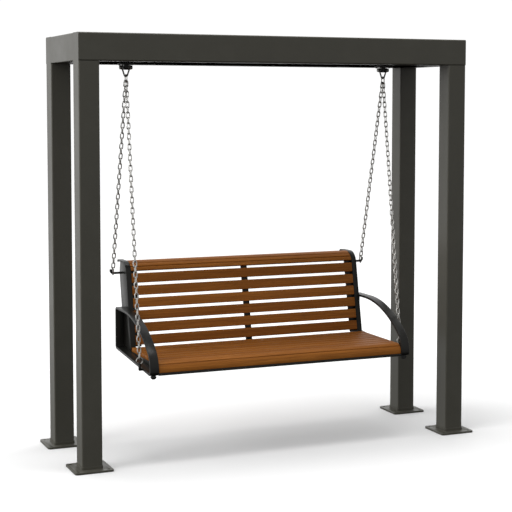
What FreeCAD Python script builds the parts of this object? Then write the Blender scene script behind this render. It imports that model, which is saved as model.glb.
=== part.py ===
"""Hanging swing bench: a slatted bench on four chains under a four-post steel frame.

Frame axes: +X along the beams, towards the right-hand end seen from the front; +Y to the rear;
+Z up. The origin is on the ground, in the middle of the four posts. Millimetres.
"""
import FreeCAD, Part
import math
import os
import re

import Sketcher
from FreeCAD import Placement, Rotation, Vector

# ---------------------------------------------------------------- driving dimensions
SIZES = {
    # portal frame
    "frame_height": 2100,
    "frame_length": 2106,
    "frame_depth": 626,
    "post_width": 102,
    "tube_wall": 4,
    "tube_corner": 7,
    "beam_height": 135,
    "plate_side": 192,
    "plate_thick": 10,
    "plate_corner": 13,
    "anchor_spacing": 150,
    "anchor_hole": 13,
    "collar_wall": 3,
    "collar_height": 14,
    "sheet_thick": 2,
    "cross_tube": 70,
    "cover_drop": 10,
    # hangers
    "hanger_offset": 725,
    "pin_height": 1944,
    "pin_diameter": 12,
    "pin_length": 66,
    "pin_head": 19.2,
    "pin_head_thick": 6,
    "bracket_plate": 70,
    "bracket_plate_thick": 8,
    "bracket_wide": 22,
    "bolt_shank": 8,
    "bolt_offset": 25.2,
    "bolt_head": 11.2,
    "bolt_head_high": 5,
    "bail_wire": 8,
    "bail_spread": 42,
    "bail_drop": 44,
    "bail_bend": 9,
    "bail_eye_wall": 5,
    "bail_eye_long": 9,
    "running_gap": 0.05,
    # chains
    "link_wire": 6,
    "link_pitch": 27,
    "link_width": 22,
    "link_play": 0.25,
    "top_ring_wire": 7,
    "top_ring_bend": 15,
    "top_ring_half": 3.5,
    "top_ring_spread": 5.2,
    "end_link_inner": 36,
    "end_link_width": 27,
    "end_ring_middle": 32,
    "end_ring_wire": 6,
    # bench
    "seat_height": 506,
    "seat_front": 329,
    "seat_rear": 113,
    "nose_radius": 40,
    "nose_drop": 12,
    "nose_split": 42,
    "nose_split_gap": 2.5,
    "nose_end": 98,
    "slat_thick": 21,
    "slat_width": 50,
    "slat_corner": 3,
    "back_gap": 14.5,
    "seat_gap": 4,
    "back_slat_length": 1284,
    "seat_slat_length": 1336,
    "back_foot": 120,
    "back_run_down": 54,
    "back_straight": 386,
    "first_slat": 10,
    "lean_angle": 11.3,
    "roll_radius": 70,
    "roll_tail": 77,
    "roll_slat": 46,
    "roll_gap": 2,
    "curl_radius": 16,
    "curl_angle": 75,
    "strap_thick": 6,
    "web_thick": 4,
    "lug_thick": 8,
    "lug_standoff": 9,
    "lug_wide": 18,
    "lug_lift": 8,
    "lug_bore": 8.4,
    "weld_overlap": 1,
    "rail_wall": 2,
    "strap_width": 36,
    "strap_run_down": 21.8,
    "seat_rail_width": 42,
    "side_plate_long": 390,
    "side_plate_high": 26,
    "side_plate_back": 42,
    "upright_outer": 670,
    "upright_strip": 27,
    "upright_depth": 118,
    "upright_edge": 8,
    "upright_tail": 60,
    "upright_knee": 170,
    "upright_foot": 60,
    "crown_drop": 8,
    "crown_rise": 30,
    "flange_inner": 605,
    "arm_width": 45,
    "arm_thick": 12,
    "arm_front": 334,
    "arm_rear": 250,
    "arm_top": 704,
    "arm_bottom": 441,
    "arm_corner": 20,
    "arm_shoulder": 118,
    "arm_crest": 614,
    "arm_crest_turn": 40,
    "rail_slope": 4.3,
    "bumper": 30,
    "bumper_neck": 5,
    "rear_rail_side": 30,
    "rear_rail_back": 34,
    "rear_rail_lap": 6,
    "hook_bar": 12,
    "hook_bend": 14,
    "hook_reach": 11,
    "hook_tip": 20,
    "hook_back": 255,
    "hook_height": 880,
    "hook_head_thick": 5,
    "lug_front": 205,
    "front_rail_wide": 46,
    "front_rail_lead": 2,
    "lug_height": 481,
    "screw_head": 10,
    "screw_shank": 4.5,
    "screw_grip": 14,
}

doc = FreeCAD.newDocument("HangingSwingBench")
sheet = doc.addObject("Spreadsheet::Sheet", "Sizes")
for row, (alias, number) in enumerate(SIZES.items(), start=1):
    sheet.set(f"A{row}", alias)
    sheet.set(f"B{row}", str(number))
    sheet.setAlias(f"B{row}", alias)
doc.recompute()

NODES = []          # the finished sub-parts, in the order they are made
ALIAS = re.compile(r"\b(" + "|".join(SIZES) + r")\b")


def size(alias):
    """The number in the cell with this alias."""
    return float(sheet.get(alias))


def bind(thing, **rules):
    """Bind properties to formulas of the sheet; a double underscore stands for a dot."""
    for name, rule in rules.items():
        formula = ALIAS.sub(r"Sizes.\1", str(rule))
        thing.setExpression(name.replace("__", "."), formula)


def keep(thing, label):
    """Give a finished sub-part its label and put it on the list that is written."""
    thing.Label = label
    NODES.append(thing)
    return thing


# ---------------------------------------------------------------- sketches and bodies
def new_sketch(body, role):
    """A sketch on one of the body's own origin planes."""
    sketch = body.newObject("Sketcher::SketchObject", body.Name + "Sketch")
    plane = next(item for item in body.Origin.OriginFeatures if item.Role == role)
    sketch.AttachmentSupport = [(plane, "")]
    sketch.MapMode = "FlatFace"
    return sketch


def rounded_rectangle(sketch, wide, high, corner, name):
    """A rounded rectangle about the sketch's origin, its three sizes bound to formulas."""
    half_w, half_h, rad = 40.0, 30.0, 5.0
    first = sketch.GeometryCount
    corners = [(1, -1, -90), (1, 1, 0), (-1, 1, 90), (-1, -1, 180)]
    ends = [(half_w - rad, -half_h, half_w, -half_h + rad), (half_w, half_h - rad, half_w - rad, half_h),
            (-half_w + rad, half_h, -half_w, half_h - rad), (-half_w, -half_h + rad, -half_w + rad, -half_h)]
    for index in range(4):
        start = ends[index - 1][2:]
        finish = ends[index][:2]
        sketch.addGeometry(Part.LineSegment(Vector(*start, 0), Vector(*finish, 0)), False)
    for sign_x, sign_y, begin in corners:
        middle = Vector(sign_x * (half_w - rad), sign_y * (half_h - rad), 0)
        circle = Part.Circle(middle, Vector(0, 0, 1), rad)
        arc = Part.ArcOfCircle(circle, math.radians(begin), math.radians(begin + 90))
        sketch.addGeometry(arc, False)
    lines = [first + index for index in range(4)]
    arcs = [first + 4 + index for index in range(4)]
    for index in range(4):
        following = lines[(index + 1) % 4]
        sketch.addConstraint(Sketcher.Constraint("Tangent", lines[index], 2, arcs[index], 1))
        sketch.addConstraint(Sketcher.Constraint("Tangent", arcs[index], 2, following, 1))
        flat = "Horizontal" if index % 2 == 0 else "Vertical"
        sketch.addConstraint(Sketcher.Constraint(flat, lines[index]))
    for arc in arcs[1:]:
        sketch.addConstraint(Sketcher.Constraint("Equal", arcs[0], arc))
    sketch.addConstraint(Sketcher.Constraint("Symmetric", arcs[3], 3, arcs[1], 3, -1, 1))
    named = {
        name + "Wide": (Sketcher.Constraint("DistanceX", lines[3], 1, lines[1], 1, 2 * half_w), wide),
        name + "High": (Sketcher.Constraint("DistanceY", lines[0], 1, lines[2], 1, 2 * half_h), high),
        name + "Corner": (Sketcher.Constraint("Radius", arcs[0], rad), corner),
    }
    for label, (constraint, rule) in named.items():
        sketch.renameConstraint(sketch.addConstraint(constraint), label)
        bind(sketch, **{"Constraints__" + label: rule})


def add_pad(body, sketch, length, both_ways=False):
    """Pad a sketch by a bound length, to both sides of its plane if asked."""
    pad = body.newObject("PartDesign::Pad", body.Name + "Pad")
    pad.Profile = sketch
    if both_ways:
        pad.SideType = "Symmetric"
    bind(pad, Length=length)
    body.Tip = pad
    return pad


def place(thing, across=0, back=0, up=0):
    """Bind a sub-part's place to formulas."""
    bind(thing, Placement__Base__x=across, Placement__Base__y=back, Placement__Base__z=up)


def section_tube(name, role, wide, high, length, wall="tube_wall"):
    """A square or rectangular tube with rounded corners, long both ways from the sketch plane."""
    body = doc.addObject("PartDesign::Body", name)
    sketch = new_sketch(body, role)
    rounded_rectangle(sketch, wide, high, "tube_corner", "Outer")
    inner = "tube_corner - " + wall
    rounded_rectangle(sketch, f"{wide} - 2 * {wall}", f"{high} - 2 * {wall}", inner, "Inner")
    add_pad(body, sketch, length, both_ways=True)
    return body


def block(name, length, width, height, across, back, up):
    """A box whose sizes and low corner are bound to formulas."""
    box = doc.addObject("Part::Box", name)
    bind(box, Length=length, Width=width, Height=height)
    place(box, across, back, up)
    return box


def rod(name, diameter, length, direction, across, back, up):
    """A round bar from a bound point along one axis."""
    bar = doc.addObject("Part::Cylinder", name)
    turns = {"x": Rotation(Vector(0, 1, 0), 90), "y": Rotation(Vector(1, 0, 0), -90), "z": Rotation()}
    bar.Placement = Placement(Vector(), turns[direction])
    bind(bar, Radius=f"({diameter}) / 2", Height=length)
    place(bar, across, back, up)
    return bar


def fuse(name, pieces):
    """One piece from several that touch or overlap."""
    joined = doc.addObject("Part::MultiFuse", name)
    joined.Shapes = pieces
    joined.Refine = True
    return joined


def group(name, pieces):
    """Separate solids kept in one node."""
    together = doc.addObject("Part::Compound", name)
    together.Links = pieces
    return together


def cut(name, base, tool):
    """A piece with a tool taken away."""
    result = doc.addObject("Part::Cut", name)
    result.Base = base
    result.Tool = tool
    return result


# ---------------------------------------------------------------- bent outlines in the side plane
class Contour:
    """A line of straights and right-hand bends in the Y-Z plane; material lies to its right."""

    def __init__(self, start, heading, moves):
        self.spans = []
        point, angle, along = Vector(start[0], start[1], 0), heading, 0.0
        for kind, amount, turn in moves:
            length = amount if kind == "line" else amount * math.radians(turn)
            self.spans.append((kind, amount, point, angle, along, length))
            point = self.spot_on(self.spans[-1], length, 0)
            angle -= turn
            along += length
        self.total = along

    @staticmethod
    def spot_on(span, distance, depth):
        """A point some way along one span, some depth to its right."""
        kind, amount, point, angle, _, _ = span
        theta = math.radians(angle)
        forward = Vector(math.cos(theta), math.sin(theta), 0)
        right = Vector(math.sin(theta), -math.cos(theta), 0)
        if kind == "line":
            return point + forward * distance + right * depth
        centre = point + right * amount
        bend = Rotation(Vector(0, 0, 1), -math.degrees(distance / amount))
        return centre + bend.multVec(right * (depth - amount))

    def spot(self, distance, depth=0.0):
        """A point some way along the whole line, some depth to its right."""
        span = next((s for s in self.spans if distance <= s[4] + s[5]), self.spans[-1])
        return self.spot_on(span, distance - span[4], depth)

    def heading(self, distance):
        """The direction, in degrees from +Y towards +Z, some way along the line."""
        span = next((s for s in self.spans if distance <= s[4] + s[5]), self.spans[-1])
        bend = math.degrees((distance - span[4]) / span[1]) if span[0] == "arc" else 0
        return span[3] - bend

    def rise(self, distance, depth, reach):
        """How far a flat disc of radius reach stands off the surface at a depth inside a bend."""
        span = next((s for s in self.spans if distance <= s[4] + s[5]), self.spans[-1])
        if span[0] == "line":
            return 0.0
        inner = span[1] - depth
        return inner - math.sqrt(inner ** 2 - reach ** 2)

    def edges(self, begin, finish, depth):
        """The curves from one distance to another at a depth."""
        curves = []
        for span in self.spans:
            first = begin if span is self.spans[0] else max(begin, span[4])
            last = finish if span is self.spans[-1] else min(finish, span[4] + span[5])
            if last - first < 1e-6:
                continue
            places = [self.spot_on(span, part - span[4], depth) for part in (first, (first + last) / 2, last)]
            if span[0] == "line":
                curves.append(Part.LineSegment(places[0], places[2]))
            else:
                curves.append(Part.Arc(*places))
        return curves

    def band(self, begin, finish, outside, inside):
        """The closed outline of a strip between two depths."""
        outer = self.edges(begin, finish, outside)
        inner = self.edges(begin, finish, inside)
        far = Part.LineSegment(self.spot_end(outer), self.spot_end(inner))
        begins = [curves[0].value(curves[0].FirstParameter) for curves in (inner, outer)]
        near = Part.LineSegment(*begins)
        return outer + [far] + inner + [near]

    @staticmethod
    def spot_end(curves):
        """The end point of a run of curves."""
        return curves[-1].value(curves[-1].LastParameter)


def outline_body(name, loops, length, across):
    """A piece with a closed outline in the side plane, padded along +X from a bound place."""
    body = doc.addObject("PartDesign::Body", name)
    sketch = new_sketch(body, "YZ_Plane")
    for loop in loops:
        for curve in loop:
            sketch.addGeometry(curve, False)
    add_pad(body, sketch, length)
    place(body, across)
    return body


# ---------------------------------------------------------------- the portal frame
SIDES = {"left": -1, "right": 1}
ENDS = {"front": -1, "rear": 1}
POST_TOP = "frame_height - beam_height"
POST_X = "(frame_length - post_width) / 2"
POST_Y = "(frame_depth - post_width) / 2"


def make_posts():
    """Four square tube posts, each on its drilled base plate inside a thin foot collar."""
    collars = []
    for end, toward in ENDS.items():
        for side, hand in SIDES.items():
            spot = dict(across=f"{hand} * {POST_X}", back=f"{toward} * {POST_Y}")
            post_length = f"{POST_TOP} - plate_thick"
            post = section_tube(f"Post{end}{side}", "XY_Plane", "post_width", "post_width", post_length)
            place(post, up=f"plate_thick + ({post_length}) / 2", **spot)
            keep(post, f"post_{end}_{side}")
            keep(base_plate(f"Plate{end}{side}", spot), f"base_plate_{end}_{side}")
            collar = doc.addObject("PartDesign::Body", f"Collar{end}{side}")
            sketch = new_sketch(collar, "XY_Plane")
            wide = "post_width + 2 * collar_wall"
            rounded_rectangle(sketch, wide, wide, "tube_corner + collar_wall", "Outer")
            rounded_rectangle(sketch, "post_width", "post_width", "tube_corner", "Inner")
            add_pad(collar, sketch, "collar_height")
            place(collar, up="plate_thick", **spot)
            collars.append(collar)
    keep(group("PostCollars", collars), "post_foot_collars")


def base_plate(name, spot):
    """A square plate with rounded corners and four anchor holes."""
    body = doc.addObject("PartDesign::Body", name)
    sketch = new_sketch(body, "XY_Plane")
    rounded_rectangle(sketch, "plate_side", "plate_side", "plate_corner", "Outer")
    for sign_x in (-1, 1):
        for sign_y in (-1, 1):
            half = size("anchor_spacing") / 2
            middle = Vector(sign_x * half, sign_y * half, 0)
            hole = sketch.addGeometry(Part.Circle(middle, Vector(0, 0, 1), size("anchor_hole") / 2), False)
            tag = f"Hole{hole}"
            if sign_x < 0:
                across = Sketcher.Constraint("DistanceX", hole, 3, -1, 1, half)
            else:
                across = Sketcher.Constraint("DistanceX", -1, 1, hole, 3, half)
            if sign_y < 0:
                along = Sketcher.Constraint("DistanceY", hole, 3, -1, 1, half)
            else:
                along = Sketcher.Constraint("DistanceY", -1, 1, hole, 3, half)
            bore = Sketcher.Constraint("Diameter", hole, size("anchor_hole"))
            rules = {"X": (across, "anchor_spacing / 2"), "Y": (along, "anchor_spacing / 2"),
                     "Bore": (bore, "anchor_hole")}
            for label, (constraint, rule) in rules.items():
                sketch.renameConstraint(sketch.addConstraint(constraint), tag + label)
                bind(sketch, **{"Constraints__" + tag + label: rule})
    add_pad(body, sketch, "plate_thick")
    place(body, **spot)
    return body


def make_beams():
    """Front and rear beams the full length, end beams between them, and plates closing the tube ends."""
    caps = []
    middle = f"{POST_TOP} + beam_height / 2"
    for end, toward in ENDS.items():
        length = "frame_length - 2 * tube_wall"
        beam = section_tube(f"Beam{end}", "YZ_Plane", "post_width", "beam_height", length)
        place(beam, back=f"{toward} * {POST_Y}", up=middle)
        keep(beam, f"{end}_beam")
        for side, hand in SIDES.items():
            cap = doc.addObject("PartDesign::Body", f"Cap{end}{side}")
            sketch = new_sketch(cap, "YZ_Plane")
            rounded_rectangle(sketch, "post_width", "beam_height", "tube_corner", "Outer")
            add_pad(cap, sketch, "tube_wall", both_ways=True)
            offset = f"{hand} * (frame_length - tube_wall) / 2"
            place(cap, across=offset, back=f"{toward} * {POST_Y}", up=middle)
            caps.append(cap)
    keep(group("BeamCaps", caps), "beam_end_caps")
    for side, hand in SIDES.items():
        between = "frame_depth - 2 * post_width"
        beam = section_tube(f"EndBeam{side}", "XZ_Plane", "post_width", "beam_height", between)
        place(beam, across=f"{hand} * {POST_X}", up=middle)
        keep(beam, f"{side}_end_beam")


def make_roof():
    """Crossmembers for the hangers, the soffit sheet below and the rain sheet on top."""
    inner_x = "frame_length - 2 * post_width"
    inner_y = "frame_depth - 2 * post_width"
    low = f"{POST_TOP} + sheet_thick"
    for side, hand in SIDES.items():
        middle_x = f"{hand} * hanger_offset"
        cross = section_tube(f"Cross{side}", "XZ_Plane", "cross_tube", "cross_tube", inner_y)
        place(cross, across=middle_x, up=f"{low} + cross_tube / 2")
        keep(cross, f"{side}_crossmember")
    soffit = block("Soffit", inner_x, inner_y, "sheet_thick", f"-({inner_x}) / 2", f"-({inner_y}) / 2",
                   POST_TOP)
    windows = []
    for side, hand in SIDES.items():
        corner_x = f"{hand} * hanger_offset - bracket_plate / 2"
        window = block(f"Window{side}", "bracket_plate", "bracket_plate", "4 * sheet_thick",
                       corner_x, "-bracket_plate / 2", f"{POST_TOP} - sheet_thick")
        windows.append(window)
    keep(cut("SoffitSheet", soffit, group("Windows", windows)), "soffit_sheet")
    cover = block("Cover", inner_x, inner_y, "sheet_thick", f"-({inner_x}) / 2", f"-({inner_y}) / 2",
                  "frame_height - cover_drop")
    keep(cover, "top_cover")


def make_hanger_brackets():
    """A drilled lug on a plate under each crossmember, its bolts and the pivot pin."""
    pins, bolts = [], []
    plate_top = f"{POST_TOP} + sheet_thick"
    plate_low = f"{plate_top} - bracket_plate_thick"
    for side, hand in SIDES.items():
        middle = f"{hand} * hanger_offset"
        plate = block(f"BracketPlate{side}", "bracket_plate", "bracket_plate", "bracket_plate_thick",
                      f"{middle} - bracket_plate / 2", "-bracket_plate / 2", plate_low)
        lug_width = "2 * pin_diameter"
        lug = block(f"BracketLug{side}", "bracket_wide", lug_width, f"{plate_low} - pin_height",
                    f"{middle} - bracket_wide / 2", f"-({lug_width}) / 2", "pin_height")
        nose = rod(f"BracketNose{side}", lug_width, "bracket_wide", "x", f"{middle} - bracket_wide / 2", 0,
                   "pin_height")
        bore = rod(f"BracketBore{side}", "pin_diameter", "2 * bracket_wide", "x", f"{middle} - bracket_wide", 0,
                   "pin_height")
        holes = []
        for index, (turn_x, turn_y) in enumerate([(-1, -1), (-1, 1), (1, -1), (1, 1)]):
            spot_x = f"{middle} + {turn_x} * bolt_offset"
            spot_y = f"{turn_y} * bolt_offset"
            shank = rod(f"Shank{side}{index}", "bolt_shank", "bracket_plate_thick", "z", spot_x, spot_y,
                        plate_low)
            head = doc.addObject("Part::Prism", f"Head{side}{index}")
            head.Polygon = 6
            bind(head, Circumradius="bolt_head / 2", Height="bolt_head_high")
            place(head, spot_x, spot_y, f"{plate_low} - bolt_head_high")
            bolts.append(fuse(f"Bolt{side}{index}", [shank, head]))
            holes.append(rod(f"Drill{side}{index}", "bolt_shank", "3 * bracket_plate_thick", "z", spot_x,
                             spot_y, f"{plate_low} - bracket_plate_thick"))
        whole = fuse(f"Bracket{side}", [plate, lug, nose])
        keep(cut(f"BracketDrilled{side}", whole, group(f"BracketHoles{side}", [bore] + holes)),
             f"{side}_hanger_bracket")
        shaft = rod(f"Pin{side}", "pin_diameter", "pin_length", "x", f"{middle} - pin_length / 2", 0,
                    "pin_height")
        ends = []
        for tip, way in (("a", -1), ("b", 1)):
            foot = f"{middle} + {way} * (pin_length - pin_head_thick) / 2 - pin_head_thick / 2"
            ends.append(rod(f"PinHead{side}{tip}", "pin_head", "pin_head_thick", "x", foot, 0, "pin_height"))
        pins.append(fuse(f"PivotPin{side}", [shaft] + ends))
    keep(group("PivotPins", pins), "pivot_pins")
    keep(group("BracketBolts", bolts), "bracket_bolts")


# ---------------------------------------------------------------- bails, rings and chains
def swept_wire(edges, radius):
    """A round wire along a smooth path of edges."""
    path = Part.Wire([edge.toShape() for edge in edges])
    begin = path.Edges[0]
    start = begin.valueAt(begin.FirstParameter)
    along = begin.tangentAt(begin.FirstParameter)
    circle = Part.Wire([Part.Circle(start, along, radius).toShape()])
    return path.makePipeShell([circle], True, False)


def bail_shape():
    """A V of round bar with an eye at each top end, crotch down, in the X-Z plane about the pin's middle."""
    wire, half = size("bail_wire") / 2, size("bail_spread") / 2
    bend = size("bail_bend")
    low = -size("bail_drop")
    centre = Vector(0, 0, low + bend)
    top = Vector(half, 0, 0)
    reach = (top - centre).Length
    tilt = math.acos(bend / reach) - math.atan2((top - centre).z, (top - centre).x)
    touch = centre + Vector(math.cos(-tilt), 0, math.sin(-tilt)) * bend
    mirror = Vector(-touch.x, 0, touch.z)
    path = [Part.LineSegment(Vector(-half, 0, 0), mirror), Part.Arc(mirror, Vector(0, 0, low), touch),
            Part.LineSegment(touch, top)]
    legs = swept_wire(path, wire)
    eyes = []
    outer = size("pin_diameter") / 2 + size("bail_eye_wall")
    thick = size("bail_eye_long")
    for way in (-1, 1):
        eyes.append(Part.makeCylinder(outer, thick, Vector(way * half - thick / 2, 0, 0), Vector(1, 0, 0)))
    whole = legs.multiFuse(eyes)
    bore = size("pin_diameter") / 2 + size("running_gap")
    hole = Part.makeCylinder(bore, 4 * half, Vector(-2 * half, 0, 0), Vector(1, 0, 0))
    return whole.cut(hole).removeSplitter()


def link_shape(pitch, width, wire):
    """One oval link along +Z about the origin, lying in the X-Z plane."""
    inner = pitch + size("link_play")
    bend = (width - wire) / 2
    half = inner / 2 + wire / 2 - bend
    round_wire = wire / 2
    bars = [Part.makeCylinder(round_wire, 2 * half, Vector(way * bend, 0, -half)) for way in (-1, 1)]
    ring = Part.makeTorus(bend, round_wire, Vector(), Vector(0, 1, 0))
    span = 3 * width
    upper = ring.common(Part.makeBox(span, span, span, Vector(-span / 2, -span / 2, 0)))
    lower = ring.common(Part.makeBox(span, span, span, Vector(-span / 2, -span / 2, -span)))
    upper.translate(Vector(0, 0, half))
    lower.translate(Vector(0, 0, -half))
    return bars[0].multiFuse([bars[1], upper, lower]).removeSplitter()


def chain_shape(top, bottom, count):
    """Links standing along a straight line, each a quarter turn from the last."""
    line = bottom - top
    pitch = line.Length / count
    link = link_shape(pitch, size("link_width"), size("link_wire"))
    down = line.normalize()
    side = Vector(1, 0, 0)
    links = []
    for index in range(count):
        middle = top + down * (pitch * (index + 0.5))
        across = side - down * side.dot(down) if index % 2 == 0 else down.cross(side)
        turn = Rotation(across, Vector(), down * -1, "ZXY")
        piece = link.copy()
        piece.Placement = Placement(middle, turn)
        links.append(piece)
    return Part.Compound(links)


def shaped(label, shape, middle=None, turn=Rotation()):
    """A sub-part whose shape is set directly; its Placement turns it and carries it to its place."""
    feature = doc.addObject("Part::Feature", label.title().replace("_", ""))
    feature.Shape = shape
    if middle is not None:
        feature.Placement = Placement(middle, turn)
    return feature


BAIL_CROTCH = size("pin_height") - size("bail_drop")
RINGS = []
RING_BEND = size("top_ring_bend")        # of the oval top rings, to the middle of the wire
RING_HALF = size("top_ring_half")        # half of their straight sides
RING_SPREAD = size("top_ring_spread")    # how far each chain hangs from the middle of its top ring


def make_bails_and_rings():
    """The two bails on their pins and the oval rings in them; returns the height of the rings' low bends."""
    rings = []
    play = size("link_play")
    ring_wire = size("top_ring_wire")
    for side, hand in SIDES.items():
        across = hand * size("hanger_offset")
        keep(shaped(f"{side}_bail", bail_shape(), Vector(across, 0, size("pin_height"))), f"{side}_bail")
        reach = RING_HALF + RING_BEND
        inner = 2 * reach - ring_wire - play
        ring = link_shape(inner, 2 * RING_BEND + ring_wire, ring_wire)
        drop = BAIL_CROTCH + size("bail_wire") / 2 + play + ring_wire / 2 - reach
        sideways = Rotation(Vector(0, 0, 1), 90)
        rings.append(shaped(f"{side}_top_ring", ring, Vector(across, 0, drop), sideways))
    RINGS.extend(rings)
    return drop - RING_HALF


def make_chains(bend_height):
    """Four chains of separate links, the rear ones ending in a large link round a hook."""
    play, wire = size("link_play"), size("link_wire")
    seat_radius = RING_BEND - size("top_ring_wire") / 2 - wire / 2 - play
    top_up = bend_height - math.sqrt(seat_radius ** 2 - RING_SPREAD ** 2) - wire / 2 - play / 2
    bar = size("hook_bar") / 2
    end_links = []
    for side, hand in SIDES.items():
        across = hand * size("hanger_offset")
        ring_top = size("lug_height") + size("end_ring_middle") - size("end_ring_wire") / 2
        front_top = Vector(across, -RING_SPREAD, top_up)
        front_low = Vector(hand * lug_middle(), -size("lug_front"), ring_top - play / 2)
        count = 2 * round((front_low - front_top).Length / size("link_pitch") / 2)
        keep(shaped(f"front_{side}_chain", chain_shape(front_top, front_low, count)), f"front_{side}_chain")
        rear_top = Vector(across, RING_SPREAD, top_up)
        axis = Vector(across, size("hook_back"), size("hook_height"))
        down = (axis - rear_top).normalize()
        hook = axis + down * (bar + play)
        inner = size("end_link_inner")
        end_link = link_shape(inner - play, size("end_link_width"), wire)
        turn = Rotation(down.cross(Vector(1, 0, 0)), Vector(), down * -1, "ZXY")
        end_link.Placement = Placement(hook - down * (inner / 2), turn)
        end_links.append(shaped(f"{side}_end_link", end_link))
        rear_low = hook - down * (inner + wire / 2) + down * (wire / 2 + play / 2)
        count = 2 * round(((rear_low - rear_top).Length / size("link_pitch") - 1) / 2) + 1
        keep(shaped(f"rear_{side}_chain", chain_shape(rear_top, rear_low, count)), f"rear_{side}_chain")
    RINGS.extend(end_links)


LUG_PLACE = "(upright_outer + arm_width + lug_standoff + lug_thick / 2)"


def lug_middle():
    """How far from the middle the chain lugs stand."""
    return size("upright_outer") + size("arm_width") + size("lug_standoff") + size("lug_thick") / 2


def make_lugs():
    """The lugs that stand off the outer edges of the arm loops and the round rings in them."""
    lugs, rings = [], []
    for side, hand in SIDES.items():
        inner_x = f"{hand} * {LUG_PLACE} - lug_thick / 2"
        low = "arm_bottom + lug_lift"
        front = "-lug_front - lug_wide / 2"
        loop_edge = "upright_outer + arm_width"
        foot_long = "lug_standoff + weld_overlap"
        foot_x = loop_edge if hand > 0 else f"-({loop_edge}) - ({foot_long})"
        foot = block(f"LugFoot{side}", foot_long, "lug_wide", "arm_thick", foot_x, front, low)
        plate = block(f"LugPlate{side}", "lug_thick", "lug_wide", f"lug_height - ({low})", inner_x, front, low)
        head = rod(f"LugHead{side}", "lug_wide", "lug_thick", "x", inner_x, "-lug_front", "lug_height")
        bore = rod(f"LugBore{side}", "lug_bore", "3 * lug_thick", "x", f"{inner_x} - lug_thick",
                   "-lug_front", "lug_height")
        lugs.append(cut(f"Lug{side}", fuse(f"LugWhole{side}", [plate, head, foot]), bore))
        ring = doc.addObject("Part::Torus", f"EndRing{side}")
        ring.Placement = Placement(Vector(), Rotation(Vector(1, 0, 0), 90))
        bind(ring, Radius1="end_ring_middle / 2", Radius2="end_ring_wire / 2")
        place(ring, f"{hand} * {LUG_PLACE}", "-lug_front", "lug_height + end_ring_middle / 2")
        rings.append(ring)
    keep(group("ChainLugs", lugs), "chain_lugs")
    RINGS.extend(rings)
    keep(group("ChainRings", RINGS), "chain_rings")


# ---------------------------------------------------------------- the bench
LEAN = 90 - size("lean_angle")
STRAIGHT = size("back_straight")         # the straight part of the back, up from the seat
FOOT = size("back_run_down")             # how far the back's line runs on below the seat
NOSE = size("nose_drop")
BACK = Contour(
    (size("back_foot") - FOOT * math.cos(math.radians(LEAN)),
     size("seat_height") - FOOT * math.sin(math.radians(LEAN))),
    LEAN,
    [("line", FOOT + STRAIGHT, 0), ("arc", size("roll_radius"), LEAN), ("line", size("roll_tail"), 0),
     ("arc", size("curl_radius"), size("curl_angle"))],
)
SEAT = Contour(
    (-size("seat_front"), size("seat_height") - size("nose_radius") - NOSE),
    90,
    [("line", NOSE, 0), ("arc", size("nose_radius"), 90),
     ("line", size("seat_rear") + size("seat_front") - size("nose_radius"), 0)],
)
WOOD = size("slat_thick")
STEEL = size("strap_thick")


def slat_rows():
    """Every slat: its name, its line, its two edges along the line and whether it is flat."""
    rows = []
    width, gap = size("slat_width"), size("back_gap")
    for index in range(6):
        low = FOOT + size("first_slat") + index * (width + gap)
        rows.append((f"back_slat_{index + 1}", BACK, low, low + width))
    low = rows[-1][3] + gap
    top = low + size("roll_slat")
    rows.append(("back_slat_7", BACK, low, top))
    rows.append(("back_slat_8", BACK, top + size("roll_gap"), top + size("roll_gap") + width))
    split, end = size("nose_split"), size("nose_end")
    rows.append(("seat_nose_lower", SEAT, 0.0, split))
    rows.append(("seat_nose_upper", SEAT, split + size("nose_split_gap"), end))
    for index in range(7):
        low = end + size("seat_gap") + index * (width + size("seat_gap"))
        rows.append((f"seat_slat_{7 - index}", SEAT, low, low + width))
    return rows


SLATS = slat_rows()
FLANGE_INNER = size("flange_inner")      # where the flange behind the back slats ends
SEAT_RAIL_WIDE = size("seat_rail_width")
EDGE = size("upright_edge")              # depth of the strip that shows beside the slat ends
CLEAR = 0.03                             # between a screw and its hole, all round
HEAD_BALL, HEAD_SINK = 0.62, 0.37        # of a screw head's dome: radius and depth of its middle, per diameter


def support_places(line):
    """Where the three supports of a row of slats stand along X: their middles."""
    if line is BACK:
        middle = (size("upright_outer") - size("web_thick") + FLANGE_INNER) / 2
        return [-middle, 0.0, middle]
    middle = size("upright_outer") - SEAT_RAIL_WIDE / 2
    return [-middle, 0.0, middle]


def screw_shapes(line, low, high, clear):
    """Two-part screws into one slat, or the holes for them, one at each support."""
    middle = (low + high) / 2
    inward = math.radians(line.heading(middle) - 90)
    out = Vector(0, math.cos(inward), math.sin(inward))
    back = line.spot(middle, WOOD + STEEL)
    shapes = []
    for across in support_places(line):
        foot = Vector(across, back.x, back.y) + out * line.rise(middle, WOOD + STEEL, size("screw_head") / 2)
        grip = STEEL + size("screw_grip") + clear
        shank = Part.makeCylinder(size("screw_shank") / 2 + clear, grip, foot, out * -1)
        if clear:
            shapes.append(shank)
            continue
        head = Part.makeSphere(size("screw_head") * HEAD_BALL, foot - out * size("screw_head") * HEAD_SINK)
        head = head.cut(Part.makeCylinder(2 * size("screw_head"), 2 * size("screw_head"), foot, out * -1))
        shapes.append(head.fuse(shank).removeSplitter())
    return shapes


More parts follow.
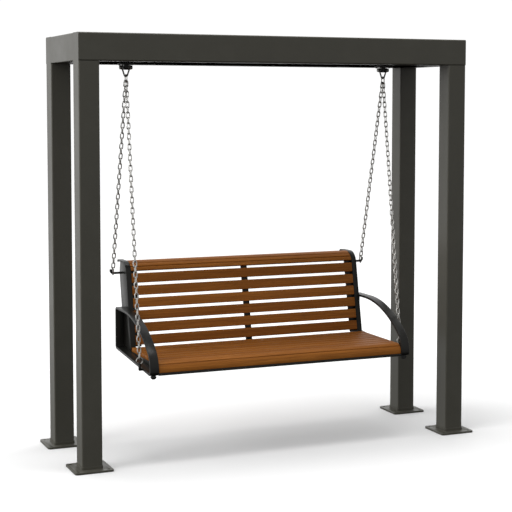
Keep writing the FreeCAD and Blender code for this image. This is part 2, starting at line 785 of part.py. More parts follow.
def make_slats():
    """All the slats with their screw holes, and the screws."""
    screws = []
    for name, line, low, high in SLATS:
        length = "seat_slat_length" if line is SEAT else "back_slat_length"
        tag = name.title().replace("_", "")
        body = outline_body(tag, [line.band(low, high, 0, WOOD)], length, f"-({length}) / 2")
        rounded = round_long_edges(body, line, low, high)
        holes = shaped(f"{name}_holes", Part.Compound(screw_shapes(line, low, high, CLEAR)))
        keep(cut(f"{tag}Drilled", rounded, holes), name)
        screws += screw_shapes(line, low, high, 0)
    keep(shaped("slat_screws", Part.Compound(screws)), "slat_screws")


def round_long_edges(body, line, low, high):
    """Ease the two long front edges of a slat."""
    doc.recompute()
    shape = body.Shape
    wanted = []
    for spot in (line.spot(low), line.spot(high)):
        for index, edge in enumerate(shape.Edges, start=1):
            middle = edge.CenterOfMass
            if edge.Length > 1000 and abs(middle.y - spot.x) < 0.1 and abs(middle.z - spot.y) < 0.1:
                wanted.append(f"Edge{index}")
    plain = body.Tip
    fillet = body.newObject("PartDesign::Fillet", body.Name + "Eased")
    fillet.Base = (plain, wanted)
    bind(fillet, Radius="slat_corner")
    body.Tip = fillet
    return body


def make_supports():
    """The bent flat bars under the seat and behind the back, drilled for the screws."""
    drill = {}
    for line in (BACK, SEAT):
        shapes = []
        for _, owner, low, high in SLATS:
            if owner is line:
                shapes += screw_shapes(line, low, high, CLEAR)
        drill[id(line)] = Part.Compound(shapes)
    low_end = FOOT - size("strap_run_down")
    top_end = SLATS[7][3]
    strap = outline_body("CentreStrap", [BACK.band(low_end, top_end, WOOD, WOOD + STEEL)], "strap_width",
                         "-strap_width / 2")
    keep(cut("CentreStrapDrilled", strap, shaped("centre_holes", drill[id(BACK)])), "centre_back_strap")
    for side, hand in [("left", -1), ("centre", 0), ("right", 1)]:
        middle = hand * support_places(SEAT)[2]
        wide = SEAT_RAIL_WIDE if hand else size("strap_width")
        rail = outline_body(f"SeatRail{side}", [SEAT.band(EDGE / 2, SEAT.total, WOOD, WOOD + STEEL)], wide,
                            middle - wide / 2)
        pieces = [rail]
        if hand:
            low_x = size("upright_outer") - STEEL if hand > 0 else -size("upright_outer")
        else:
            low_x = size("strap_width") / 2 - STEEL
        pieces.append(block(f"SidePlate{side}", "strap_thick", "side_plate_long", "side_plate_high", low_x,
                            "side_plate_back - seat_front", "arm_bottom + arm_thick"))
        whole = fuse(f"SeatRailWhole{side}", pieces)
        keep(cut(f"SeatRailDrilled{side}", whole, shaped(f"rail_holes_{side}", drill[id(SEAT)])),
             f"{side}_seat_rail")
    make_uprights(drill[id(BACK)])


def make_uprights(holes):
    """The welded end uprights of the back: edge strip, deep web and the flange behind the slats."""
    outer, depth = size("upright_outer"), size("upright_depth")
    base_up = size("arm_bottom") + size("arm_thick")
    tail = size("upright_tail")  # the edge strip runs on this far past the web's top
    heel = size("crown_drop")
    strip = BACK.band(0, BACK.total, 0, EDGE)
    flange = BACK.band(FOOT + size("roll_gap"), SLATS[7][3], WOOD, WOOD + STEEL)
    knee = BACK.spot(FOOT + size("upright_knee"), depth)
    crown = BACK.spot(FOOT + STRAIGHT - heel, depth)
    back_top = BACK.spot(BACK.total - tail, EDGE / 2)
    front = BACK.edges(EDGE / 2, BACK.total - tail, EDGE / 2)
    start = front[0].value(front[0].FirstParameter)
    foot_y = knee.x - heel
    spots = [back_top, Vector(crown.x + EDGE / 2, crown.y + size("crown_rise"), 0), crown, knee,
             Vector(foot_y, base_up + size("upright_foot"), 0), Vector(foot_y, base_up, 0),
             Vector(start.x, base_up, 0), start]
    web = front + [Part.LineSegment(spots[index], spots[index + 1]) for index in range(len(spots) - 1)]
    strip_wide, web_wide = size("upright_strip"), size("web_thick")
    parts = [("Strip", strip, outer - strip_wide, strip_wide), ("Web", web, outer - web_wide, web_wide),
             ("Flange", flange, FLANGE_INNER, outer - web_wide - FLANGE_INNER + size("weld_overlap"))]
    for side, hand in SIDES.items():
        pieces = []
        for name, outline, inner_x, wide in parts:
            low_x = inner_x if hand > 0 else -inner_x - wide
            pieces.append(outline_body(f"{name}{side}", [outline], wide, low_x))
        whole = fuse(f"Upright{side}", pieces)
        bore_x = f"{hand} * upright_outer - 2 * upright_strip"
        bar = rod(f"BarBore{side}", "hook_bar", "4 * upright_strip", "x", bore_x, "hook_back", "hook_height")
        tool = group(f"UprightHoles{side}", [bar, shaped(f"upright_holes_{side}", holes)])
        keep(cut(f"UprightDrilled{side}", whole, tool), f"{side}_back_upright")


def make_arm_loops():
    """The closed flat-bar loops at the ends: arm, rear leg and bottom rail in one bent bar."""
    front, rear = -size("arm_front"), size("arm_rear")
    low, top = size("arm_bottom"), size("arm_top")
    corner, turn = size("arm_corner"), size("arm_crest_turn")
    tight, large = size("arm_shoulder"), size("arm_crest")
    rise = tight * math.sin(math.radians(90 - turn)) + large * (1 - math.cos(math.radians(turn)))
    reach = tight * (1 - math.cos(math.radians(90 - turn))) + large * math.sin(math.radians(turn))
    slope = size("rail_slope")
    foot_run = (rear - front - 2 * corner) / math.cos(math.radians(slope))
    leg = top - low - 2 * corner - foot_run * math.sin(math.radians(slope))
    moves = [("line", top - low - rise - corner, 0), ("arc", tight, 90 - turn), ("arc", large, turn),
             ("line", rear - front - reach - corner, 0), ("arc", corner, 90), ("line", leg, 0),
             ("arc", corner, 90 - slope), ("line", foot_run, 0), ("arc", corner, 90 + slope)]
    loop = Contour((front, low + corner), 90, moves)
    outer = loop.edges(0, loop.total, 0)
    inner = loop.edges(0, loop.total, size("arm_thick"))
    feet = []
    for side, hand in SIDES.items():
        low_x = "upright_outer" if hand > 0 else "-upright_outer - arm_width"
        keep(outline_body(f"ArmLoop{side}", [outer, inner], "arm_width", low_x), f"{side}_arm_loop")
        middle = f"{hand} * (upright_outer + arm_width / 2)"
        back = "arm_corner - arm_front"
        neck = "arm_bottom - bumper_neck"
        stub = rod(f"Foot{side}", "0.8 * bumper", "bumper_neck", "z", middle, back, neck)
        dome = doc.addObject("Part::Sphere", f"Dome{side}")
        bind(dome, Radius="bumper / 2")
        place(dome, middle, back, neck)
        corner_x, corner_y = f"{middle} - bumper / 2", f"{back} - bumper / 2"
        slab = block(f"DomeCut{side}", "bumper", "bumper", "bumper", corner_x, corner_y, neck)
        flat = block(f"DomeLow{side}", "bumper", "bumper", "bumper", corner_x, corner_y,
                     f"{neck} - 1.4 * bumper")
        trimmed = cut(f"DomeHalf{side}", dome, group(f"DomeTools{side}", [slab, flat]))
        feet.append(fuse(f"Bumper{side}", [stub, trimmed]))
    keep(group("Bumpers", feet), "arm_loop_bumpers")


def make_cross_rails():
    """The rails along X: one below the seat's nose and one behind the seat."""
    clear_x = "2 * (upright_outer - web_thick)"
    front = block("FrontRail", "2 * upright_outer", "front_rail_wide", "arm_thick", "-upright_outer",
                  "-seat_front - front_rail_lead", "arm_bottom")
    keep(front, "front_seat_rail")
    rear = doc.addObject("PartDesign::Body", "RearRail")
    sketch = new_sketch(rear, "YZ_Plane")
    rounded_rectangle(sketch, "rear_rail_side", "rear_rail_side", "1.5 * rail_wall", "Outer")
    inner = "rear_rail_side - 2 * rail_wall"
    rounded_rectangle(sketch, inner, inner, "0.5 * rail_wall", "Inner")
    add_pad(rear, sketch, clear_x, both_ways=True)
    place(rear, 0, "seat_rear + rear_rail_back", "arm_bottom + arm_thick - rear_rail_lap + rear_rail_side / 2")
    keep(rear, "rear_seat_rail")


def make_rear_hooks():
    """The hooks that the rear chains hold: a bar through each upright's web, turned up at its outer end."""
    radius, bend = size("hook_bar") / 2, size("hook_bend")
    back, up = size("hook_back"), size("hook_height")
    head_thick = size("hook_head_thick")
    hooks = []
    for side, hand in SIDES.items():
        tip = size("hanger_offset") + size("hook_reach")
        inner = size("upright_outer") - size("web_thick") - head_thick
        slant = bend * math.sqrt(0.5)
        begin = Vector(hand * inner, back, up)
        turn_in = Vector(hand * (tip - bend), back, up)
        turn_mid = Vector(hand * (tip - bend + slant), back, up + bend - slant)
        turn_out = Vector(hand * tip, back, up + bend)
        end = Vector(hand * tip, back, up + size("hook_tip"))
        path = [Part.LineSegment(begin, turn_in), Part.Arc(turn_in, turn_mid, turn_out),
                Part.LineSegment(turn_out, end)]
        head = Part.makeCylinder(1.6 * radius, head_thick, begin, Vector(hand, 0, 0))
        hooks.append(shaped(f"{side}_rear_hook", swept_wire(path, radius).fuse(head).removeSplitter()))
    keep(group("RearChainHooks", hooks), "rear_chain_hooks")


def check_and_write():
    """Stop on any failed object or bad shape, then write each sub-part."""
    doc.recompute()
    for item in doc.Objects:
        if "Invalid" in item.State or "Error" in item.State:
            raise RuntimeError(f"{item.Name} ({item.Label}) failed: {item.State}")
    for node in NODES:
        if node.Shape.isNull() or not node.Shape.isValid():
            raise RuntimeError(f"{node.Label} has a bad shape")
        if not node.Shape.Solids:
            raise RuntimeError(f"{node.Label} holds no solid")
    os.makedirs("parts", exist_ok=True)
    for node in NODES:
        node.Shape.exportStep(f"parts/{node.Label}.step")
        centre = node.Shape.BoundBox.Center
        print(f"{node.Label}: {len(node.Shape.Solids)} solids, {node.Shape.Volume / 1000:.1f} cm3, "
              f"middle {centre.x:.0f} {centre.y:.0f} {centre.z:.0f}")
    print(len(NODES), "nodes")


make_posts()
make_beams()
make_roof()
make_hanger_brackets()
LOW_BEND = make_bails_and_rings()
make_chains(LOW_BEND)
make_lugs()
make_slats()
make_supports()
make_arm_loops()
make_cross_rails()
make_rear_hooks()
check_and_write()
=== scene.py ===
"""The looks of a hanging swing bench: timber slats on a black steel bench, four chains, a four-post portal.

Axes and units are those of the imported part: metres, +X to the right, +Y to the rear, +Z up.
"""

import logging
import math
from contextlib import contextmanager
from dataclasses import dataclass
from enum import Enum
from typing import Any, Iterator, Optional, Sequence, Union

import bpy
from mathutils import Matrix, Vector


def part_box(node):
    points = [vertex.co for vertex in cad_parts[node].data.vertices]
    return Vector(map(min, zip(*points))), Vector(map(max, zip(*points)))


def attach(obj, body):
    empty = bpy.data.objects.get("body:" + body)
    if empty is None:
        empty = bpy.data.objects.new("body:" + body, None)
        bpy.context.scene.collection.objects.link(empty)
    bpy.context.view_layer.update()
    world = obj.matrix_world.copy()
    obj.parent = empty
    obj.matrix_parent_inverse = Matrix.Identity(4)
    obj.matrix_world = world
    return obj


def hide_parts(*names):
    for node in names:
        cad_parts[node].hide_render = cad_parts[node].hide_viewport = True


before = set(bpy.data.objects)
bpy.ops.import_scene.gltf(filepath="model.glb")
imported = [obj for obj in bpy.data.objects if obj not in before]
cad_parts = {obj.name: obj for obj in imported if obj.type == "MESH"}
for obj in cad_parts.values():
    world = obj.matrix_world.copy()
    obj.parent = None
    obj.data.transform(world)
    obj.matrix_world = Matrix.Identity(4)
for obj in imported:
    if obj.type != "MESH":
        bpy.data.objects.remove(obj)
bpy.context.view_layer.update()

LOG = logging.getLogger("swing_bench")
SIDES = {"left": -1, "right": 1}
ENDS = ("front", "rear")
RIGHT_ANGLE = 90.0               # degrees
GRID = 1e5                       # steps per metre; corners that share a step are one corner
MERGE = 1 / GRID
HAIR = 1e-9                      # metres; a shorter stretch of a line counts as nothing
MEAN = 0.5                       # of every noise
Colour = tuple[float, float, float]
Point = tuple[float, float, float]
Range = tuple[float, float]


class Body(str, Enum):
    """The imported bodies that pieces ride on."""

    FRAME = "frame"
    BAILS = "bails"
    BENCH = "bench"


class Slot(str, Enum):
    """The finishes that the record names."""

    PORTAL = "portal_paint"
    HANGER = "hanger_black"
    BENCH = "bench_paint"
    CAP = "black_cap"
    WOOD = "wood_slat"
    CHAIN = "galvanised_chain"
    PLATED = "plated_hardware"


# ---------------------------------------------------------------- shader nodes
class Socket:
    """An output socket that takes part in arithmetic."""

    def __init__(self, tree: bpy.types.NodeTree, output: bpy.types.NodeSocket) -> None:
        """Wrap one output of a node tree.

        Args:
            tree: The tree that holds the node.
            output: The socket to wrap.
        """
        self.tree = tree
        self.output = output

    def math(self, operation: str, *values: Union["Socket", float]) -> "Socket":
        """Add a Math node.

        Args:
            operation: The Math node's operation.
            *values: Its inputs in order, each a socket or a number.

        Returns:
            The node's result.
        """
        node = self.tree.nodes.new("ShaderNodeMath")
        node.operation = operation
        for index, value in enumerate(values):
            if isinstance(value, Socket):
                self.tree.links.new(value.output, node.inputs[index])
            else:
                node.inputs[index].default_value = value
        return Socket(self.tree, node.outputs[0])

    def __add__(self, other: Union["Socket", float]) -> "Socket":
        """Return self + other."""
        return self.math("ADD", self, other)

    def __radd__(self, other: float) -> "Socket":
        """Return other + self."""
        return self.math("ADD", other, self)

    def __sub__(self, other: Union["Socket", float]) -> "Socket":
        """Return self - other."""
        return self.math("SUBTRACT", self, other)

    def __rsub__(self, other: float) -> "Socket":
        """Return other - self."""
        return self.math("SUBTRACT", other, self)

    def __mul__(self, other: Union["Socket", float]) -> "Socket":
        """Return self * other."""
        return self.math("MULTIPLY", self, other)

    def __rmul__(self, other: float) -> "Socket":
        """Return other * self."""
        return self.math("MULTIPLY", other, self)

    def __pow__(self, other: float) -> "Socket":
        """Return self to the power of other."""
        return self.math("POWER", self, other)

    def clamped(self) -> "Socket":
        """Return self held between 0 and 1."""
        return self.math("MINIMUM", self.math("MAXIMUM", self, 0.0), 1.0)

    def ramp(self, low: float, high: float) -> "Socket":
        """Rise smoothly from 0 to 1.

        Args:
            low: The value up to which the result is 0.
            high: The value from which it is 1.

        Returns:
            The result.
        """
        node = self.tree.nodes.new("ShaderNodeMapRange")
        node.interpolation_type = "SMOOTHSTEP"
        self.tree.links.new(self.output, node.inputs["Value"])
        node.inputs["From Min"].default_value = low
        node.inputs["From Max"].default_value = high
        return Socket(self.tree, node.outputs["Result"])


Input = Union[Socket, float, Sequence[float]]


class Shader:
    """One material and the nodes behind its Principled shader."""

    def __init__(self, name: str) -> None:
        """Start a material with an empty tree, a Principled shader and an output.

        Args:
            name: The material's name.
        """
        self.material = bpy.data.materials.new(name)
        self.material.use_nodes = True
        self.tree = self.material.node_tree
        self.tree.nodes.clear()
        self.surface = self.tree.nodes.new("ShaderNodeBsdfPrincipled")
        output = self.tree.nodes.new("ShaderNodeOutputMaterial")
        self.tree.links.new(self.surface.outputs[0], output.inputs["Surface"])

    def node(self, kind: str, settings: dict[str, Any], inputs: dict[str, Input],
             result: Union[int, str] = 0) -> Socket:
        """Add any node.

        Args:
            kind: The node's type.
            settings: Its properties, set first; "stops" holds a ramp's positions and colours.
            inputs: Its sockets by name or identifier, each a wrapped socket or a constant.
            result: The output to return.

        Returns:
            The chosen output.
        """
        node = self.tree.nodes.new(kind)
        for name, value in settings.items():
            if name == "stops":
                self._set_stops(node, value)
            else:
                setattr(node, name, value)
        for name, value in inputs.items():
            socket = next(s for s in node.inputs if name in (s.identifier, s.name))
            if isinstance(value, Socket):
                self.tree.links.new(value.output, socket)
            else:
                socket.default_value = value
        return Socket(self.tree, node.outputs[result])

    @staticmethod
    def _set_stops(node: bpy.types.Node, stops: Sequence[tuple[float, Colour]]) -> None:
        """Fill a colour ramp.

        Args:
            node: The ramp's node.
            stops: Its positions, each with a colour.
        """
        elements = node.color_ramp.elements
        while len(elements) < len(stops):
            elements.new(1.0)
        for element, (position, colour) in zip(elements, stops):
            element.position = position
            element.color = (*colour, 1.0)

    def place(self, waves: Union[float, Point], shift: Optional[Socket] = None) -> Socket:
        """Object coordinates, shifted and then scaled.

        Args:
            waves: Pattern waves per metre, one number for every axis or one for each.
            shift: A vector added first.

        Returns:
            The coordinates.
        """
        spot = self.node("ShaderNodeTexCoord", {}, {}, "Object")
        if shift is not None:
            spot = self.vector("ADD", spot, shift)
        return self.vector("MULTIPLY", spot, (waves,) * 3 if isinstance(waves, float) else waves)

    def vector(self, operation: str, first: Input, second: Input) -> Socket:
        """Add a Vector Math node on two vectors."""
        return self.node("ShaderNodeVectorMath", {"operation": operation},
                         {"Vector": first, "Vector_001": second})

    def noise(self, spot: Socket, detail: float = 3.0, roughness: float = 0.5,
              distortion: float = 0.0) -> Socket:
        """Fractal noise about 0.5 at coordinates that are already scaled."""
        values = {"Vector": spot, "Scale": 1.0, "Detail": detail, "Roughness": roughness,
                  "Distortion": distortion}
        return self.node("ShaderNodeTexNoise", {}, values, "Fac")

    def mix(self, factor: Input, first: Input, second: Input, blend: str = "MIX") -> Socket:
        """Mix two colours, each a socket or an RGB constant."""
        colours = [value if isinstance(value, Socket) else (*value, 1.0) for value in (first, second)]
        return self.node("ShaderNodeMix", {"data_type": "RGBA", "blend_type": blend},
                         {"Factor_Float": factor, "A_Color": colours[0], "B_Color": colours[1]}, 2)

    def bump(self, height: Socket, depth: float, strength: float = 1.0) -> Socket:
        """Turn a height of 0 to 1 into a normal; depth is the height of 1 in metres."""
        return self.node("ShaderNodeBump", {}, {"Height": height, "Strength": strength, "Distance": depth})

    def set(self, **sockets: Input) -> None:
        """Set or link the Principled shader's sockets.

        Args:
            **sockets: Their values by name, with underscores for spaces.
        """
        for name, value in sockets.items():
            socket = self.surface.inputs[name.replace("_", " ")]
            if isinstance(value, Socket):
                self.tree.links.new(value.output, socket)
            elif name == "Base_Color":
                socket.default_value = (*value, 1.0)
            else:
                socket.default_value = value


# ---------------------------------------------------------------- finishes
@dataclass(frozen=True)
class PowderCoat:
    """Baked powder coating with a fine orange peel and faint dust."""

    name: str
    colour: Colour
    dust: Colour
    roughness: float = 0.42
    shine: float = 0.4
    peel_size: float = 0.0011
    peel_depth: float = 0.00002
    peel_strength: float = 0.55
    cloud_size: float = 0.16
    cloud_edge: Range = (0.42, 0.72)
    cloud_gloss: float = 0.22    # how far the clouds change the roughness
    specks: float = 420.0        # per metre
    speck_edge: Range = (0.52, 0.7)
    speck_gloss: float = 0.08
    dust_amount: float = 0.16
    dust_clouds: float = 0.7     # the dust's share in clouds; the rest lies in specks

    def material(self) -> bpy.types.Material:
        """Build the coating.

        Returns:
            The material.
        """
        shader = Shader(self.name)
        peel = shader.noise(shader.place(1 / self.peel_size), detail=2.0, roughness=0.55)
        cloud = shader.noise(shader.place(1 / self.cloud_size), detail=4.0, roughness=0.6)
        speck = shader.noise(shader.place(self.specks), detail=2.0)
        clouds = cloud.ramp(*self.cloud_edge) * self.dust_clouds
        specks = speck.ramp(*self.speck_edge) * (1 - self.dust_clouds)
        film = (clouds + specks) * self.dust_amount
        gloss = (cloud - MEAN) * self.cloud_gloss + (speck - MEAN) * self.speck_gloss
        shader.set(
            Base_Color=shader.mix(film.clamped(), self.colour, self.dust),
            Roughness=(self.roughness + gloss).clamped(),
            Normal=shader.bump(peel, self.peel_depth, self.peel_strength),
            Specular_IOR_Level=self.shine,
        )
        return shader.material


@dataclass(frozen=True)
class OiledTimber:
    """Oiled hardwood with its grain along X: growth rings, fibre, pores and board-to-board tone."""

    name: str
    pale: Colour = (0.45, 0.163, 0.027)
    warm: Colour = (0.285, 0.094, 0.013)
    dark: Colour = (0.085, 0.025, 0.004)
    roughness: float = 0.52
    shine: float = 0.12
    board_shift: Point = (7.3, 1.9, 3.1)    # metres in the log between the boards 0 and 1
    board_tone: float = 0.55
    drift_waves: Point = (0.9, 5.0, 5.0)
    drift_tone: float = 1.1
    streak_waves: Point = (1.6, 60.0, 60.0)
    streak_tone: float = 1.3
    ring_size: float = 0.0085
    ring_run: float = 0.95       # waves per metre along the grain
    ring_count: float = 6.5      # rings over the whole range of the noise
    ring_drift: float = 2.0
    ring_rise: Range = (0.0, 0.75)
    ring_fall: Range = (0.86, 1.0)
    ring_dark: float = 0.34
    ring_relief: float = 0.25
    fibre_size: float = 0.0011
    fibre_run: float = 9.0
    fibre_edge: Range = (0.45, 0.8)
    fibre_dark: float = 0.42
    fibre_relief: float = 0.6
    fibre_gloss: float = 0.25
    pore_size: float = 0.00055
    pore_run: float = 34.0
    pore_edge: Range = (0.62, 0.72)
    pore_dark: float = 0.55
    pore_relief: float = 0.5
    pore_gloss: float = 0.2
    relief_depth: float = 0.00025
    relief_strength: float = 0.6

    def material(self) -> bpy.types.Material:
        """Build the timber; the attribute "board" sets each slat's own cut of the log.

        Returns:
            The material.
        """
        shader = Shader(self.name)
        board = shader.node("ShaderNodeAttribute", {"attribute_name": "board"}, {}, "Fac")
        moves = {axis: board * move for axis, move in zip("XYZ", self.board_shift)}
        shift = shader.node("ShaderNodeCombineXYZ", {}, moves)
        drift = shader.noise(shader.place(self.drift_waves, shift), detail=2.0)
        streak = shader.noise(shader.place(self.streak_waves, shift), detail=3.0, roughness=0.6)
        ring_spot = self.along_grain(shader, self.ring_run, self.ring_size, shift)
        ring_wave = shader.noise(ring_spot, detail=3.0, roughness=0.55, distortion=0.35)
        phase = ring_wave * self.ring_count + drift * self.ring_drift
        part = phase.math("FRACT", phase)
        ring = part.ramp(*self.ring_rise) * (1.0 - part.ramp(*self.ring_fall))
        fibre_spot = self.along_grain(shader, self.fibre_run, self.fibre_size, shift)
        fibre = shader.noise(fibre_spot, detail=4.0, roughness=0.62)
        pore_spot = self.along_grain(shader, self.pore_run, self.pore_size, shift)
        pores = shader.noise(pore_spot, detail=1.0).ramp(*self.pore_edge)
        tone = MEAN + (drift - MEAN) * self.drift_tone + (streak - MEAN) * self.streak_tone
        tone = (tone + (board - MEAN) * self.board_tone).clamped()
        wood = shader.mix(tone, self.warm, self.pale)
        wood = shader.mix((ring * self.ring_dark).clamped(), wood, self.dark)
        wood = shader.mix((fibre.ramp(*self.fibre_edge) * self.fibre_dark).clamped(), wood, self.dark)
        wood = shader.mix(pores * self.pore_dark, wood, self.dark)
        height = fibre * self.fibre_relief + ring * self.ring_relief - pores * self.pore_relief
        gloss = (fibre - MEAN) * self.fibre_gloss + pores * self.pore_gloss
        shader.set(
            Base_Color=wood,
            Roughness=(self.roughness + gloss).clamped(),
            Normal=shader.bump(height, self.relief_depth, self.relief_strength),
            Specular_IOR_Level=self.shine,
        )
        return shader.material

    @staticmethod
    def along_grain(shader: Shader, run: float, size: float, shift: Socket) -> Socket:
        """Coordinates of a pattern that is drawn out along X."""
        return shader.place((run, 1 / size, 1 / size), shift)


@dataclass(frozen=True)
class BareMetal:
    """Zinc or galvanised steel: spangle, fine grit and dull patches."""

    name: str
    bright: Colour
    dull: Colour
    roughness: float
    spangle_size: float = 0.004
    spangle_dulls: float = 0.3
    patches: float = 75.0        # per metre
    patch_edge: Range = (0.4, 0.75)
    patch_dulls: float = 0.6
    oxide_edge: Range = (0.55, 0.8)
    oxide: float = 0.3           # how much of the metal's look a patch takes
    dull_gloss: float = 0.22
    grit: float = 1600.0         # per metre
    grit_gloss: float = 0.1
    grit_relief: float = 0.5
    spangle_relief: float = 0.5
    relief_depth: float = 0.00004
    relief_strength: float = 0.5

    def material(self) -> bpy.types.Material:
        """Build the metal.

        Returns:
            The material.
        """
        shader = Shader(self.name)
        cells = shader.node("ShaderNodeTexVoronoi", {},
                            {"Vector": shader.place(1 / self.spangle_size), "Scale": 1.0}, "Color")
        spangle = shader.node("ShaderNodeSeparateColor", {}, {"Color": cells}, "Red")
        patch = shader.noise(shader.place(self.patches), detail=4.0, roughness=0.65)
        grit = shader.noise(shader.place(self.grit), detail=2.0)
        dullness = patch.ramp(*self.patch_edge) * self.patch_dulls + spangle * self.spangle_dulls
        dullness = dullness.clamped()
        gloss = dullness * self.dull_gloss + (grit - MEAN) * self.grit_gloss
        height = grit * self.grit_relief + spangle * self.spangle_relief
        shader.set(
            Base_Color=shader.mix(dullness, self.bright, self.dull),
            Metallic=(1.0 - patch.ramp(*self.oxide_edge) * self.oxide).clamped(),
            Roughness=(self.roughness + gloss).clamped(),
            Normal=shader.bump(height, self.relief_depth, self.relief_strength),
        )
        return shader.material


@dataclass(frozen=True)
class MouldedRubber:
    """Matt black rubber with a fine grain and a grey bloom."""

    name: str
    colour: Colour = (0.018, 0.018, 0.017)
    bloom: Colour = (0.09, 0.088, 0.082)
    bloom_waves: float = 60.0    # per metre
    bloom_edge: Range = (0.45, 0.8)
    bloom_amount: float = 0.35
    roughness: float = 0.68
    grain: float = 1300.0        # per metre
    grain_gloss: float = 0.2
    grain_depth: float = 0.00006
    grain_strength: float = 0.6

    def material(self) -> bpy.types.Material:
        """Build the rubber.

        Returns:
            The material.
        """
        shader = Shader(self.name)
        grain = shader.noise(shader.place(self.grain), detail=2.0)
        haze = shader.noise(shader.place(self.bloom_waves), detail=3.0)
        bloom = haze.ramp(*self.bloom_edge) * self.bloom_amount
        shader.set(
            Base_Color=shader.mix(bloom, self.colour, self.bloom),
            Roughness=(self.roughness + (grain - MEAN) * self.grain_gloss).clamped(),
            Normal=shader.bump(grain, self.grain_depth, self.grain_strength),
        )
        return shader.material


@dataclass(frozen=True)
class StudioFloor:
    """Pale matt floor with barely visible unevenness, which shines far out like a lit backdrop."""

    name: str
    colour: Colour = (0.93, 0.93, 0.93)
    shade: Colour = (0.88, 0.88, 0.88)
    shade_waves: float = 0.35    # per metre
    shade_amount: float = 0.15
    roughness: float = 0.9
    shine: float = 0.1
    glow: Colour = (0.3, 0.3, 0.3)
    glow_reach: Range = (1.3, 4.5)

    def material(self) -> bpy.types.Material:
        """Build the floor's paint.

        Returns:
            The material.
        """
        shader = Shader(self.name)
        cloud = shader.noise(shader.place(self.shade_waves), detail=2.0)
        spot = shader.place(1.0)
        away = shader.node("ShaderNodeVectorMath", {"operation": "LENGTH"}, {"Vector": spot}, "Value")
        shader.set(
            Emission_Color=shader.mix(away.ramp(*self.glow_reach), (0.0, 0.0, 0.0), self.glow),
            Emission_Strength=1.0,
            Base_Color=shader.mix(cloud * self.shade_amount, self.colour, self.shade),
            Roughness=self.roughness,
            Specular_IOR_Level=self.shine,
        )
        return shader.material


class Paintbox:
    """Every finish of the object, built once."""

    def __init__(self) -> None:
        """Build the materials and file them by slot; the soffit's near-black, shineless coat is painted
        shade, as no light comes from below.
        """
        # The soffit's near-black colour and missing shine are painted shade: they stand for the shadow under
        # the roof, not for a darker paint.
        self.soffit = PowderCoat("soffit_painted_shade_coat", colour=(0.009, 0.009, 0.0075),
                                 dust=(0.02, 0.02, 0.018), roughness=0.7, shine=0.0).material()
        finishes = {
            Slot.PORTAL: PowderCoat("portal_powder_coat", colour=(0.072, 0.069, 0.055),
                                    dust=(0.13, 0.126, 0.106), roughness=0.38, shine=0.3),
            Slot.HANGER: PowderCoat("hanger_powder_coat", colour=(0.018, 0.018, 0.017),
                                    dust=(0.1, 0.1, 0.095)),
            Slot.BENCH: PowderCoat("bench_powder_coat", colour=(0.012, 0.0118, 0.0102),
                                   dust=(0.07, 0.068, 0.06), roughness=0.34, shine=0.28, cloud_size=0.09,
                                   dust_amount=0.1),
            Slot.CAP: MouldedRubber("bumper_rubber"),
            Slot.WOOD: OiledTimber("oiled_timber"),
            Slot.CHAIN: BareMetal("galvanised_steel", bright=(0.7, 0.69, 0.66), dull=(0.33, 0.325, 0.31),
                                  roughness=0.24),
            Slot.PLATED: BareMetal("zinc_plate", bright=(0.3, 0.295, 0.28), dull=(0.12, 0.118, 0.11),
                                   roughness=0.3, spangle_size=0.0025),
        }
        self.by_slot = {slot: finish.material() for slot, finish in finishes.items()}

    def dress(self, piece: bpy.types.Object, slot: Slot) -> None:
        """Give every face of a piece one finish."""
        piece.data.materials.clear()
        piece.data.materials.append(self.by_slot[slot])

    def dress_node(self, node: str, slot: Slot) -> None:
        """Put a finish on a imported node's own slots."""
        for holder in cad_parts[node].material_slots:
            holder.material = self.by_slot[slot]


# ---------------------------------------------------------------- work at the mesh
def deselect() -> None:
    """Select nothing."""
    bpy.ops.object.select_all(action="DESELECT")


def choose(piece: bpy.types.Object) -> None:
    """Select one piece alone and make it active.

    Args:
        piece: The piece.
    """
    deselect()
    piece.select_set(True)
    bpy.context.view_layer.objects.active = piece


@contextmanager
def editing(piece: bpy.types.Object, mode: str = "VERT") -> Iterator[None]:
    """Edit one piece's mesh, with everything in it selected at first.

    Args:
        piece: The piece.
        mode: The select mode, VERT, EDGE or FACE.

    Yields:
        Nothing.
    """
    choose(piece)
    bpy.ops.object.mode_set(mode="EDIT")
    bpy.ops.mesh.select_mode(type=mode)
    bpy.ops.mesh.select_all(action="SELECT")
    yield
    bpy.ops.object.mode_set(mode="OBJECT")


def ease_edges(piece: bpy.types.Object, radius: float, steps: int = 3, sharp: float = 50.0) -> None:
    """Round every sharp edge and shade the piece smoothly.

    Args:
        piece: The piece.
        radius: The rounding's radius.
        steps: Facets across each rounding.
        sharp: The least angle, in degrees, of an edge that is rounded.
    """
    with editing(piece, "EDGE"):
        bpy.ops.mesh.select_all(action="DESELECT")
        bpy.ops.mesh.edges_select_sharp(sharpness=math.radians(sharp))
        bpy.ops.mesh.bevel(offset=radius, segments=steps, affect="EDGES", clamp_overlap=True)
    smooth(piece)


def smooth(piece: bpy.types.Object, angle: float = 32.0) -> None:
    """Shade a piece smoothly except across sharp edges."""
    choose(piece)
    bpy.ops.object.shade_smooth_by_angle(angle=math.radians(angle))


def settle(piece: bpy.types.Object) -> bpy.types.Object:
    """Put a piece's place, turn and scale into its mesh.

    Args:
        piece: The piece.

    Returns:
        The same piece.
    """
    choose(piece)
    bpy.ops.object.transform_apply(location=True, rotation=True, scale=True)
    return piece


def joined(pieces: Sequence[bpy.types.Object], name: str) -> bpy.types.Object:
    """Join pieces to one.

    Args:
        pieces: The pieces; the first takes in the others.
        name: The joined piece's name.

    Returns:
        The joined piece.
    """
    deselect()
    for piece in pieces:
        piece.select_set(True)
    bpy.context.view_layer.objects.active = pieces[0]
    if len(pieces) > 1:
        bpy.ops.object.join()
    pieces[0].name = name
    return pieces[0]


